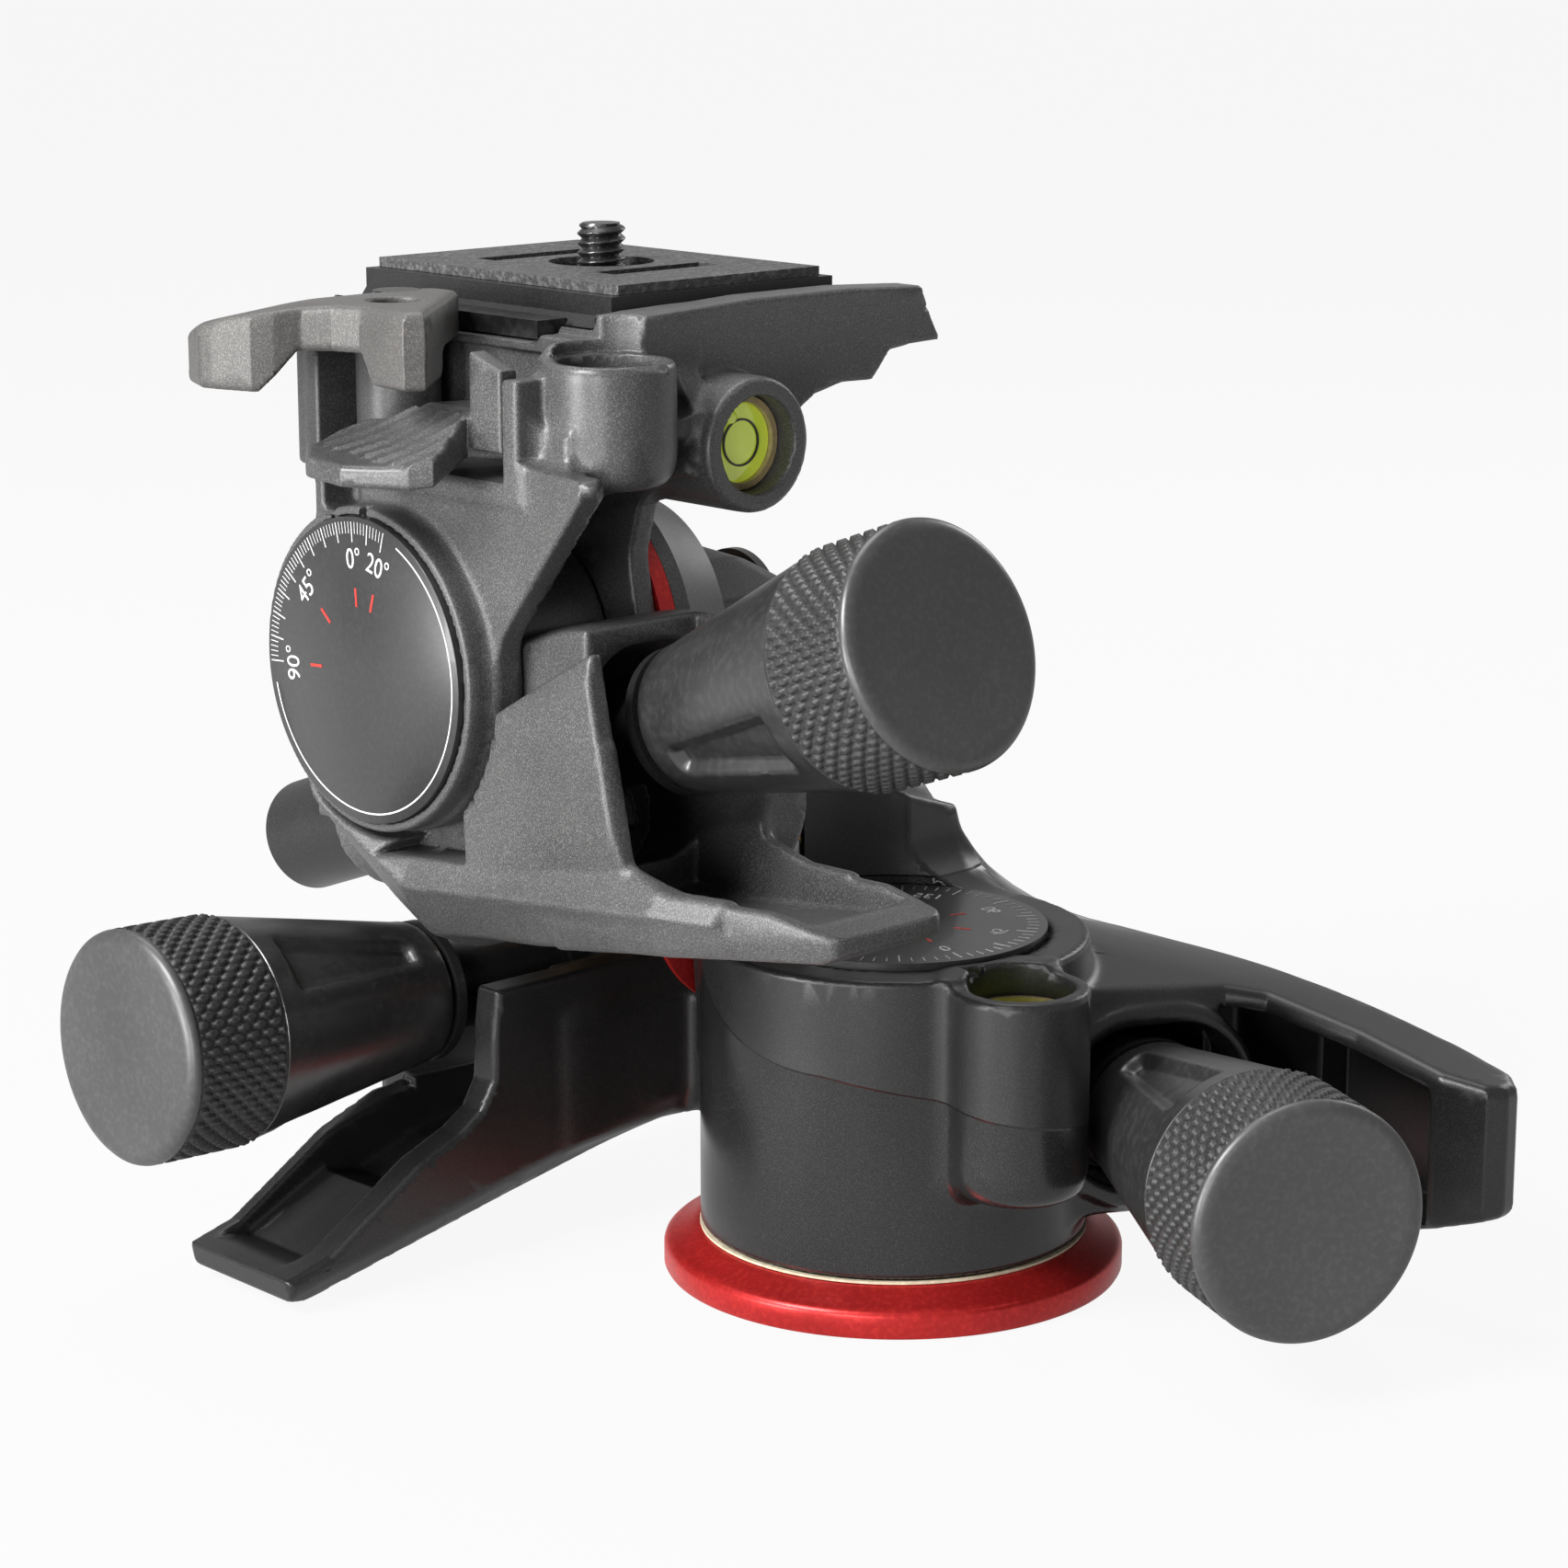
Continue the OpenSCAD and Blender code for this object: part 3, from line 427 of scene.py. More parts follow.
# %% [markdown]
# ## Platform
# It hangs on the front shaft by two legs. The left one carries the collar round the dial; the head between
# them holds the plate, the lock lever's window, the accessory socket, the tube level and the wing.
# %%
def platform_body(p):
    """Legs, collar, head, bed, wing, socket and tube, less the dial's recess, windows and bores."""
    x, y, z = p
    axis_r = np.hypot(y - TILT_Y, z - TILT_Z)
    panel = outline(y, z, [(60.4, 121.6), (60.4, 90), (59.6, 78), (27, 75), (25.4, 82.7), (5.8, 106.9),
                           (19, 108), (19, 121.6)])
    leg = both(join(panel, axis_r - 21.3, 3), slab(x, -46, -42), 0.7)
    flare = both(both(panel + 3.4, slab(x, -43, -37), 1), 100 - z, 2)
    collar = both(axis_r - 20.9, slab(x, -50, -42), 0.6)
    right = outline(y, z, [(60.4, 121), (60.4, 88), (50, 76), (30, 74), (27.4, 84), (26.2, 93), (24.3, 99.6),
                           (20, 104), (13, 108), (13, 112), (19, 121)])
    leg_r = both(join(right, axis_r - 21, 4), slab(x, -22.1, -18.6), 0.7)
    body = join(join(join(leg, collar, 1.2), leg_r, 1), flare, 2)
    head = box(p, (-46, 19, 103.2), (-18.6, 63.8, 123.9), 0.9)
    web = both(outline(y, z, [(13, 107), (22, 104.4), (34, 98.5), (58, 98.5), (58, 112), (13, 112)]),
               slab(x, -43, -20), 1.2)
    bed = both(box(p, (-31, 20, 108), (15.4, 76.4, 123.9), 0.9),
               outline(x, z, [(-31, 104), (-18, 106), (9, 114),
                                                                             (15.4, 116), (15.4, 126),
                                                                             (-31, 126)]), 1)
    body = join(join(join(body, head, 2), web, 3), bed, 1.5)
    body = cut(body, box(p, (-60, 0, 118.2), (-34, 58.4, 130), 0.4), 0.6)
    wing = both(outline(x, z, [(-41.2, 118), (-38.4, 121.2), (-34.6, 123.4), (-27, 124.7), (-9, 125.6),
                               (7.5, 125.6), (20.8, 124.9), (25.4, 117.4), (19.6, 117.2), (16, 116.8),
                               (13.9, 114.7), (12.2, 113.2), (7, 113.4), (2, 112.4), (-5, 109), (-14, 106),
                               (-30, 104), (-41, 106)]),
                slab(y + 0.022 * (z - 118) ** 2, 17.4, 23.2), 0.7)
    body = join(body, wing, 1.6)
    socket_r = np.hypot(x - SOCKET_X, y - SOCKET_Y)
    socket = both(socket_r - 8.4, slab(z, 104.5, SOCKET_TOP), 1.4)
    socket = both(socket, np.hypot(socket_r - 3, np.minimum(z - 109, 0)) - 5.4, 1.0)
    tube_r = np.hypot(x - TUBE_X, z - TUBE_Z)
    tube = both(tube_r - 8.6 + 0.05 * np.maximum(12 - y, 0), slab(y, 10.2, 30), 0.9)
    pocket = both(outline(y, z, [(-5, 96), (12, 96), (30, 97), (34, 101), (24, 107), (10, 110), (-5, 110)]),
                  slab(x, -37.5, -23.5), 1.5)
    body = cut(body, pocket, 1.0)
    body = cut(body, box(p, (-48, 21.4, 105.4), (-33, 58.4, 119.6), 0.4), 0.4)
    post = both(np.hypot(x - QUICK_X, y - QUICK_Y) - 5.4, slab(z, 104, 121.8), 0.4)
    body = join(join(join(body, post, 0.6), socket, 1.2), tube, 1.4)
    body = cut(body, both(axis_r - 19.75, x + 49.2))
    body = cut(body, both(axis_r - 8, slab(x, -51, -41)))
    body = cut(body, box(p, (-52, TILT_Y - 0.6, TILT_Z + 19), (-48.6, TILT_Y + 0.6, TILT_Z + 23.4)))
    body = cut(body, both(axis_r - 5.02, slab(x, -24, -18)))
    body = cut(body, box(p, (-41.6, 60, 100), (-22.8, 82, 121)), 0.3)
    body = cut(body, both(axis_r - 17.2, slab(x, -41.9, -22.2)), 0.5)
    body = cut(body, box(p, (-50, 50.6, 98.0), (-41, 58.4, 106), 1.4), 0.4)
    body = cut(body, box(p, (-60, 18, 121.8), (-30.6, 80, 128), 0.2), 0.3)
    body = cut(body, box(p, (-35.5, 29.7, 120.9), (-29.5, 66.3, 125)))
    body = cut(body, both(outline(x, z, [(-29.9, 120.9), (14.3, 120.9), (14.3, 121.6), (11.6, 124.1),
                                         (11.6, 130), (-30.2, 130),
                                         (-30.2, 124.1)]), slab(y, 22.9, 80)), 0.2)
    body = cut(body, both(np.hypot(x - SCREW_X, y - SCREW_Y) - 10.2, 114.9 - z), 0.3)
    body = cut(body, both(socket_r - 6.45, 106.2 - z), 0.5)
    body = cut(body, both(socket_r - 7.2, SOCKET_TOP - z), 0.3)
    body = cut(body, both(tube_r - 6.15, y - 18), 0.5)
    body = cut(body, both(np.hypot(x - LOCK_X, y - LOCK_Y) - 2.03, slab(z, 103, 116.2)))
    return cut(body, both(np.hypot(x - QUICK_X, y - QUICK_Y) - 3.03, slab(z, 116, 130)))


def quick_lever(p):
    """Lever with a curved front edge, a deep finger lobe at its far end and a short block at the near one."""
    x, y, z = p
    plan = outline(x, y, [(-34.3, 44.5), (-34.3, 50.5), (-35.7, 52.4), (-39.5, 58), (-45.6, 66.6),
                          (-48.5, 68.4), (-55.6, 68.4), (-63.4, 62.4), (-65.6, 57), (-65.2, 54.6),
                          (-63.4, 49.2), (-61, 47.4), (-57.8, 45.9), (-55.4, 43), (-54.3, 39), (-54.6, 34),
                          (-55, 29.4), (-52.6, 28), (-40.5, 38.8)])
    crown = 126.3 - 0.012 * (y - 46) ** 2 * (y > 46) - 0.10 * np.maximum(-x - 52, 0)
    under = np.interp(x, [-62.4, -58.2], [115.4, 120.3]) + 0 * y
    lobe = both(both(plan, z - crown, 1.3), (under - z) * 0.7, 0.8)
    block = both(both(outline(x, y, [(-55, 29.4), (-52.6, 28), (-43, 37), (-47, 41), (-54.3, 38.4)]),
                      slab(z, 116.6, 124), 0.8), 0.5 * (117.4 - z) + 0.87 * (y - 37.2), 0.6)
    body = join(lobe, block, 0.6)
    body = cut(body, np.hypot(x - QUICK_X, y - QUICK_Y) - 3.05 + 0 * z)
    dish = both(np.hypot((x + 47.2) / 1.1, y - 41.2) - 3.1, 120.5 - z)
    return cut(body, dish, 0.5)


def lock_lever(p):
    """Flat lever with a ribbed thumb face that slopes down outwards and an upright fin."""
    x, y, z = p
    bottom = 107.4 - 0.21 * np.maximum(-x - 46, 0) + 0.085 * (y - 24)
    top = -join(-(bottom + 2.7), -(113.4 - 0.5 * (-x - 46)), 1.5)
    top = np.minimum(top, 113.8)
    ribs = 0.4 * np.clip(1 - np.abs(((0.35 * x + 0.94 * y) % 2.6) - 1.3) / 0.8, 0,
                         1) * (x < -46.5) * (x > -58)
    plan = outline(x, y, [(-34.4, 22), (-34.4, 33), (-46, 38), (-51.5, 44), (-59, 44.2), (-61.8, 40.6),
                          (-61.6, 34), (-57.6, 25.6), (-55.2, 23.6), (-46.6, 28), (-42, 23)])
    body = both(both(plan, bottom - z, 0.9), z - top - ribs, 0.9)
    fin = both(outline(y, z, [(21.7, 109), (27.8, 109), (27.8, 121), (21.7, 119)]), slab(x, -46.4, -43.6),
               0.5)
    body = join(body, fin, 0.8)
    return cut(body, np.hypot(x - LOCK_X, y - LOCK_Y) - 2.05 + 0 * z)


# %% [markdown]
# ## Making the moulded pieces
# The voxel size is chosen so that a 1 mm edge radius still has a few faces across it.
# %%
BODY_OF = {n: b for b, names in frame["record"]["behaviour"]["bodies"].items() for n in names}
SLOT_OF = {s["node"]: s["material_slot"] for s in frame["record"]["subparts"]}


def stand_for(piece, node):
    """The piece takes the node's place: it rides the node's body, and the node is hidden."""
    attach(piece, BODY_OF[node])
    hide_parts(node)
    return piece


tilt_shell = field_mesh("tilt_shell", tilt_body, (-49.5, -33, 42), (14, 69, 91), 0.55)
pan_shell = field_mesh("pan_shell", pan_housing, (-72.5, -72.5, 0.3), (48.5, 65, 61), 0.7)
platform_shell = field_mesh("platform_shell", platform_body, (-50.5, 9, 56), (27, 77, 127), 0.6)
quick_shell = field_mesh("quick_lever_shell", quick_lever, (-67, 26, 114), (-33, 69.5, 127), 0.38)
lock_shell = field_mesh("lock_lever_shell", lock_lever, (-63, 19, 103.5), (-33.5, 47, 122), 0.35)
for piece, node in ((tilt_shell, "tilt_body"), (pan_shell, "pan_housing"), (platform_shell, "platform_body"),
                    (quick_shell, "quick_lever"), (lock_shell, "lock_lever")):
    stand_for(piece, node)

spots = np.zeros(len(pan_shell.data.vertices) * 3)
pan_shell.data.vertices.foreach_get("co", spots)
spots = spots.reshape(-1, 3) / MM
turn = np.degrees(np.arctan2(spots[:, 1], spots[:, 0])) % 360
on_drum = (spots[:, 1] < 20) & (np.hypot(spots[:, 0], spots[:, 1]) < 37)
seam = np.where(on_drum, spots[:, 2] - seam_height(turn), 9)
pan_shell.data.attributes.new("seam", "FLOAT", "POINT").data.foreach_set("value", seam.astype(np.float32))

# %% [markdown]
# ## Knobs
# Each knob is three turned surfaces: a cone with three soft flutes, a band of raised ovals, and a dished
# cap. The ovals come from folding the angle and the length into one cell of a staggered lattice.
# %%
CAP_R, NECK_R = 15.0, 9.6
FLUTE_NEAR, FLUTE_FAR, FLUTE_DEPTH = 18.2, 41.5, 1.5
FLUTE_TURN = {"a": 0, "b": 78, "c": 60}
OVAL_STEP, OVALS = 1.2, 41


def soft(t):
    """Smooth step from 0 to 1."""
    t = np.clip(t, 0, 1)
    return t * t * (3 - 2 * t)


def flutes(reach, phase):
    """Three trapezoid hollows: depth times a soft step of the distance inside each edge."""
    def bump(a, z):
        inward = reach - z
        r = 14.8 - 0.171 * (inward - 15)
        turn = (a - math.radians(30 + phase)) % math.radians(120) - math.radians(60)
        half = 4.9 - 0.105 * (inward - 17)
        ends = soft((inward - FLUTE_NEAR) / 1.8) * soft((FLUTE_FAR - inward) / 1.8)
        return -FLUTE_DEPTH * (soft((half - np.abs(r * turn)) / 1.7) * ends)
    return bump


def ovals(reach):
    """Raised ovals 2 mm long and 1.1 mm wide in staggered columns, 1.2 mm apart."""
    def bump(a, z):
        cell = 2 * math.pi * CAP_R / OVALS
        height = 0
        for shift in (0, 1):
            u = (reach - 2.6 - z + shift * OVAL_STEP + OVAL_STEP) % (2 * OVAL_STEP) - OVAL_STEP
            v = ((a * CAP_R + shift * cell / 2) % cell) - cell / 2
            height = np.maximum(height, 1 - (u / 1.02) ** 2 - (v / 0.60) ** 2)
        return 0.42 * soft(height * 1.6) * soft((reach - 1.9 - z) / 0.4) * soft((z - reach + 14.6) / 0.4)
    return bump


for u in "abc":
    l = REACH[u]
    inner = l - KNOB_LENGTH
    cone = [(3.05, inner), (8.7, inner), (9.3, inner + 0.25), (9.6, inner + 0.9)]
    cone += [(NECK_R + 0.1 + 0.1735 * d, inner + 2 + d) for d in np.linspace(0, 28.4, 60)]
    cone += [(14.45, l - 14.9), (13.8, l - 14.7), (13.8, l - 3.0), (3.05, l - 3.0)]
    body = lathe(f"knob_{u}_cone", cone, u, 192, flutes(l, FLUTE_TURN[u]), loop=True)
    rims = [(13.85, l - 15), (14.45, l - 15), (14.62, l - 14.8)], [(14.5, l - 1.75), (13.85, l - 1.7)]
    grip = [(14.62, l - z) for z in np.arange(14.6, 1.9, -0.2)]
    ring = lathe(f"knob_{u}_band", rims[0] + grip + rims[1], u, 574, ovals(l), loop=True)
    edge = [(13.75, l - 2.5), (13.75, l - 1.66), (14.72, l - 1.66), (14.95, l - 1.5), (15.0, l - 1.2),
            (14.9, l - 0.8), (14.55, l - 0.42), (14.0, l - 0.16), (13.4, l - 0.05), (12.8, l - 0.06)]
    dish = [(r, l - 0.08 - 0.55 * (1 - (r / 12.8) ** 2)) for r in np.linspace(12, 0.8, 14)]
    cap = lathe(f"knob_{u}_face", edge + dish + [(0.01, l - 0.63)], u, 128)
    for piece, node in ((body, f"knob_{u}"), (ring, f"grip_{u}"), (cap, f"cap_{u}")):
        stand_for(piece, node)
    print(u, [len(o.data.polygons) for o in (body, ring, cap)])

# %% [markdown]
# ## Base flange and camera screw
# The flange is turned with a soft shoulder. The screw's thread is a lathe whose radius follows the angle, so
# one grid gives a true helix.
# %%
flange_profile = [(7.05, 0.02), (29.2, 0.02), (29.75, 0.16), (30.0, 0.6), (30.0, 3.0), (29.86, 3.45),
                  (29.5, 3.8), (28.9, 4.05), (27.6, 4.6), (26.6, 5.1), (25.9, 5.45), (25.3, 5.64),
                  (24.4, 5.7), (9.5, 5.7), (9.5, 18.9), (6.05, 18.9), (6.05, 13.5), (7.05, 13.5)]
flange = lathe("flange_turned", flange_profile, None, 256, loop=True)
stand_for(flange, "base_flange")
PITCH = 1.27


def thread(a, z):
    """Thread depth: a triangle wave of height minus the turn's share of the pitch."""
    phase = ((z - 126.4) / PITCH - a / (2 * math.pi)) % 1
    return -0.62 * np.clip(2.2 * np.abs(phase - 0.5) - 0.12, 0, 1) * (z > 127.2) * (z < 132.6)


screw = lathe("camera_screw_thread", [(7.4, 120.7), (7.4, 123.4), (2.6, 123.5), (2.6, 126.2), (3.17, 126.5)]
              + [(3.17, z) for z in np.arange(126.7, 132.3, 0.09)] + [(2.9, 132.5), (2.5, 132.75),
                                                                      (1.6, 132.76)],
              None, 72, thread)
screw.data.transform(Matrix.Translation((-0.007, 0.0485, 0)))
stand_for(screw, "camera_screw")

# %% [markdown]
# ## Dials
# The scales are printed: thin raised strips a twentieth of a millimetre high. Ticks run from 20 to 90
# degrees, a fine arc closes the ring, and short red strokes mark the numbered angles.
# %%
def outward(mesh):
    """Turns every face outwards; mirrored maps turn a shape inside out."""
    held = bmesh.new()
    held.from_mesh(mesh)
    bmesh.ops.remove_doubles(held, verts=held.verts, dist=1e-8)
    bmesh.ops.recalc_face_normals(held, faces=held.faces)
    held.to_mesh(mesh)
    held.free()


def strips(name, quads, face, thick=0.05):
    """Flat strips as thin boxes: four corners each, in the dial's plane; face maps them to space."""
    flat = np.array(quads, float).reshape(-1, 4, 2)
    n = len(flat)
    low, high = face(flat, -0.02), face(flat, thick)
    points = np.concatenate([low, high], 1).reshape(-1, 3)
    base = np.array([[0, 3, 2, 1], [4, 5, 6, 7], [0, 1, 5, 4], [1, 2, 6, 5], [2, 3, 7, 6], [3, 0, 4, 7]])
    faces = (np.arange(n)[:, None, None] * 8 + base[None]).reshape(-1, 4)
    mesh = bpy.data.meshes.new(name)
    mesh.from_pydata((points * MM).tolist(), [], faces.tolist())
    outward(mesh)
    made = bpy.data.objects.new(name, mesh)
    bpy.context.scene.collection.objects.link(made)
    return made


def stroke(t, r0, r1, width):
    """A radial stroke at t degrees from the zero mark."""
    c, s = slanted(t)
    u, v = np.array([s, c]), np.array([c, -s]) * width / 2
    return [u * r0 - v, u * r0 + v, u * r1 + v, u * r1 - v]


def arc(t0, t1, radius, width, step=2.0):
    """A ring sector as a chain of quads."""
    edges = np.linspace(t0, t1, int(abs(t1 - t0) / step) + 1)
    out = []
    for a, b in zip(edges, edges[1:]):
        (ca, sa), (cb, sb) = slanted(a), slanted(b)
        lo, hi = radius - width / 2, radius + width / 2
        out.append([(sa * lo, ca * lo), (sb * lo, cb * lo), (sb * hi, cb * hi), (sa * hi, ca * hi)])
    return out


def front_face(flat, lift):
    """Dial plane of the front tilt: u runs towards +Y, v up, lift towards -X."""
    return np.stack([np.full(flat.shape[:-1], DIAL_X - 0.07 - lift), TILT_Y + flat[..., 0],
                     TILT_Z + flat[..., 1]], -1)


def deck_face(flat, lift):
    """Dial plane of the pan axis: the zero mark lies near the round level."""
    c, s = slanted(-108)
    e, n = flat[..., 0], flat[..., 1]
    return np.stack([n * c + e * s, n * s - e * c, np.full(flat.shape[:-1], 45.85 + lift)], -1)


def number(name, text, size, at, turn, face):
    """A number as a thin mesh on the dial: laid out flat, turned about its centre, mapped by face."""
    curve = bpy.data.curves.new(name, "FONT")
    curve.body, curve.size, curve.align_x, curve.align_y = text, size, "CENTER", "CENTER"
    curve.extrude = 0.03
    curve.offset = -0.015
    held = bpy.data.objects.new(name + "_text", curve)
    bpy.context.scene.collection.objects.link(held)
    bpy.context.view_layer.update()
    mesh = bpy.data.meshes.new_from_object(held)
    bpy.data.objects.remove(held)
    mesh.name = name
    q = np.zeros(len(mesh.vertices) * 3)
    mesh.vertices.foreach_get("co", q)
    q = q.reshape(-1, 3)
    c, s = slanted(turn)
    flat = np.stack([at[0] + q[:, 0] * c * 0.92 - q[:, 1] * s, at[1] + q[:, 0] * s * 0.92 + q[:, 1] * c], -1)
    lifted = np.where(q[:, 2:3] > 0, face(flat, 0.05), face(flat, -0.02))
    mesh.vertices.foreach_set("co", (lifted * MM).ravel())
    outward(mesh)
    made = bpy.data.objects.new(name, mesh)
    bpy.context.scene.collection.objects.link(made)
    return made


def mirrored(face):
    """The same face with u reversed, so that text reads from outside."""
    return lambda flat, lift: face(flat * np.array([-1.0, 1.0]), lift)


def printed(tag, face, radius, body, span, step, marks, zero, size):
    """Ticks, arc, numbers and red strokes of one dial; returns the white and the red pieces."""
    white, red = [], []
    for t in np.arange(span[0], span[1] + 0.1, step):
        long = t % (step * 5) == 0
        white.append(stroke(t + zero, radius - (2.6 if long else 1.5), radius, 0.15 if long else 0.09))
    if span[1] - span[0] < 300:
        white += arc(span[1] + zero + 9, span[0] + zero + 351, radius - 0.6, 0.2)
    names = []
    for i, (t, text) in enumerate(marks):
        red.append(stroke(t + zero, radius * 0.43, radius * 0.555, 0.34))
        c, s = slanted(t + zero)
        at = (-s * radius * 0.745, c * radius * 0.745)
        names.append(number(f"{tag}_number_{i}", text, size, at, t + zero, mirrored(face)))
    pieces = [strips(f"{tag}_ticks", white, face)] + names
    strokes = strips(f"{tag}_red_marks", red, face)
    for o in pieces + [strokes]:
        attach(o, body)
    return pieces, strokes


dial_rim = [(19.55, -0.3), (19.55, 0.0), (19.45, 0.07), (0.01, 0.07)]
dial_face = lathe("front_dial_face", dial_rim, None, 160)
dial_at = Matrix.Translation(Vector((DIAL_X, TILT_Y, TILT_Z)) * MM)
dial_face.data.transform(dial_at @ Matrix.Rotation(-math.pi / 2, 4, "Y"))
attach(dial_face, "tilt")
front_white, front_red = printed("front", front_face, 19.0, "tilt", (-20, 90), 2,
                                 [(0, "0°"), (-20, "20°"), (45, "45°"), (90, "90°")], 4, 3.7)
deck_marks = [(0, "0"), (45, "45"), (90, "90"), (135, "135"), (180, "180"), (-135, "135"), (-90, "90"),
              (-45, "45")]
deck_white, deck_red = printed("deck", deck_face, 18.6, "base", (-180, 175), 5, deck_marks, 0,
                               3.0)

# %% [markdown]
# ## Levels
# Each vial is a lime disc with a black circle on it, a bubble of the same lime beside the centre and a tan
# seat round the rim.
# %%
def turned_at(name, profile, centre, along_y, around=96):
    """A lathe piece about the vertical, or laid over so that its axis points to -Y, then placed at centre."""
    piece = lathe(name, profile, None, around)
    turn = Matrix.Rotation(math.radians(90), 4, "X") if along_y else Matrix.Identity(4)
    piece.data.transform(Matrix.Translation(Vector(centre) * MM) @ turn)
    return piece


def vial(tag, centre, along_y, radius, body):
    """Disc, tan seat, black circle and bubble of one level; heights are above the disc's underside."""
    disc = turned_at(f"{tag}_disc", [(radius, 0), (radius, 3.0), (radius - 0.3, 3.3), (0.01, 3.5)], centre,
                     along_y)
    seat = turned_at(f"{tag}_seat", [(radius - 0.1, 3.0), (radius - 0.1, 3.9), (radius + 0.75, 3.9),
                                     (radius + 0.75, 3.0)], centre, along_y)
    r = radius * 0.56
    circle = turned_at(f"{tag}_circle", [(r - 0.13, 3.3), (r - 0.13, 3.62), (r + 0.13, 3.62),
                                         (r + 0.13, 3.3)],
                       centre, along_y)
    high = np.array([radius * 0.28, 0, radius * 0.62]) if along_y else np.array([-radius * 0.3, radius * 0.3,
                                                                                 0])
    bubble = turned_at(f"{tag}_bubble", [(0.9, 3.3), (0.86, 3.52), (0.62, 3.66), (0.3, 3.7), (0.01, 3.7)],
                       np.array(centre) - high * (1, 1, -1), along_y, 40)
    for o in (disc, seat, circle, bubble):
        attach(o, body)
    return disc, seat, circle, bubble


round_level = vial("round_level", (LEVEL_X, LEVEL_Y, 37.2), False, 5.75, "housing")
tube_level = vial("tube_level", (TUBE_X, 17.2, TUBE_Z), True, 5.2, "platform")
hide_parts("pan_level")
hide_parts("platform_level")

# %% [markdown]
# ## Finishes
# One shared group makes the moulded grain, light specks on a dark ground with their height, and shifts the
# colour slowly over the surface, as handling and moulding do. Numbers that are the same everywhere sit on
# the shader.
# %%
def grain_group():
    """Specks from a fine noise cut at a threshold, and the noise as height."""
    g = bpy.data.node_groups.new("moulded grain", "ShaderNodeTree")
    for name, kind, way in (("Size", "NodeSocketFloat", "INPUT"), ("Dark", "NodeSocketColor", "INPUT"),
                            ("Light", "NodeSocketColor", "INPUT"), ("Rough", "NodeSocketFloat", "INPUT"),
                            ("Color", "NodeSocketColor", "OUTPUT"),
                            ("Roughness", "NodeSocketFloat", "OUTPUT"),
                            ("Height", "NodeSocketFloat", "OUTPUT")):
        g.interface.new_socket(name=name, in_out=way, socket_type=kind)
    n, l = g.nodes, g.links
    entry, leave = n.new("NodeGroupInput"), n.new("NodeGroupOutput")
    place = n.new("ShaderNodeTexCoord")
    fine, broad = n.new("ShaderNodeTexNoise"), n.new("ShaderNodeTexNoise")
    fine.inputs["Detail"].default_value = 3
    broad.inputs["Scale"].default_value = 45
    broad.inputs["Detail"].default_value = 4
    l.new(place.outputs["Object"], fine.inputs["Vector"])
    l.new(place.outputs["Object"], broad.inputs["Vector"])
    l.new(entry.outputs["Size"], fine.inputs["Scale"])
    speck = n.new("ShaderNodeMapRange")
    speck.inputs["From Min"].default_value = 0.46
    speck.inputs["From Max"].default_value = 0.70
    l.new(fine.outputs["Fac"], speck.inputs["Value"])
    mix = n.new("ShaderNodeMix")
    mix.data_type = "RGBA"
    l.new(speck.outputs["Result"], mix.inputs["Factor"])
    l.new(entry.outputs["Dark"], mix.inputs["A"])
    l.new(entry.outputs["Light"], mix.inputs["B"])
    shade = n.new("ShaderNodeMapRange")
    for key, value in (("From Min", 0.3), ("From Max", 0.7), ("To Min", 0.82), ("To Max", 1.16)):
        shade.inputs[key].default_value = value
    l.new(broad.outputs["Fac"], shade.inputs["Value"])
    scale = n.new("ShaderNodeVectorMath")
    scale.operation = "SCALE"
    l.new(mix.outputs["Result"], scale.inputs[0])
    l.new(shade.outputs["Result"], scale.inputs["Scale"])
    l.new(scale.outputs["Vector"], leave.inputs["Color"])
    rough = n.new("ShaderNodeMath")
    rough.operation = "MULTIPLY"
    l.new(shade.outputs["Result"], rough.inputs[0])
    l.new(entry.outputs["Rough"], rough.inputs[1])
    l.new(rough.outputs["Value"], leave.inputs["Roughness"])
    l.new(fine.outputs["Fac"], leave.inputs["Height"])
    return g


GRAIN = grain_group()


def finish(name, dark, light, rough, size=2600, bump=0.25, depth=0.00006, **fixed):
    """A principled material with the grain group; fixed values are set on the shader's own sockets."""
    m = bpy.data.materials.new(name)
    m.use_nodes = True
    n, l = m.node_tree.nodes, m.node_tree.links
    shader = n["Principled BSDF"]
    grain = n.new("ShaderNodeGroup")
    grain.node_tree = GRAIN
    grain.inputs["Size"].default_value = size
    grain.inputs["Rough"].default_value = rough
    grain.inputs["Dark"].default_value = (*dark, 1)
    grain.inputs["Light"].default_value = (*light, 1)
    l.new(grain.outputs["Color"], shader.inputs["Base Color"])
    l.new(grain.outputs["Roughness"], shader.inputs["Roughness"])
    if bump:
        b = n.new("ShaderNodeBump")
        b.inputs["Strength"].default_value = bump
        b.inputs["Distance"].default_value = depth
        l.new(grain.outputs["Height"], b.inputs["Height"])
        l.new(b.outputs["Normal"], shader.inputs["Normal"])
    for key, value in fixed.items():
        shader.inputs[key.replace("_", " ")].default_value = value
    return m


def grey(v, warm=0.0):
    """A grey, a little warmer or cooler."""
    return (v * (1 + warm), v, v * (1 - warm))


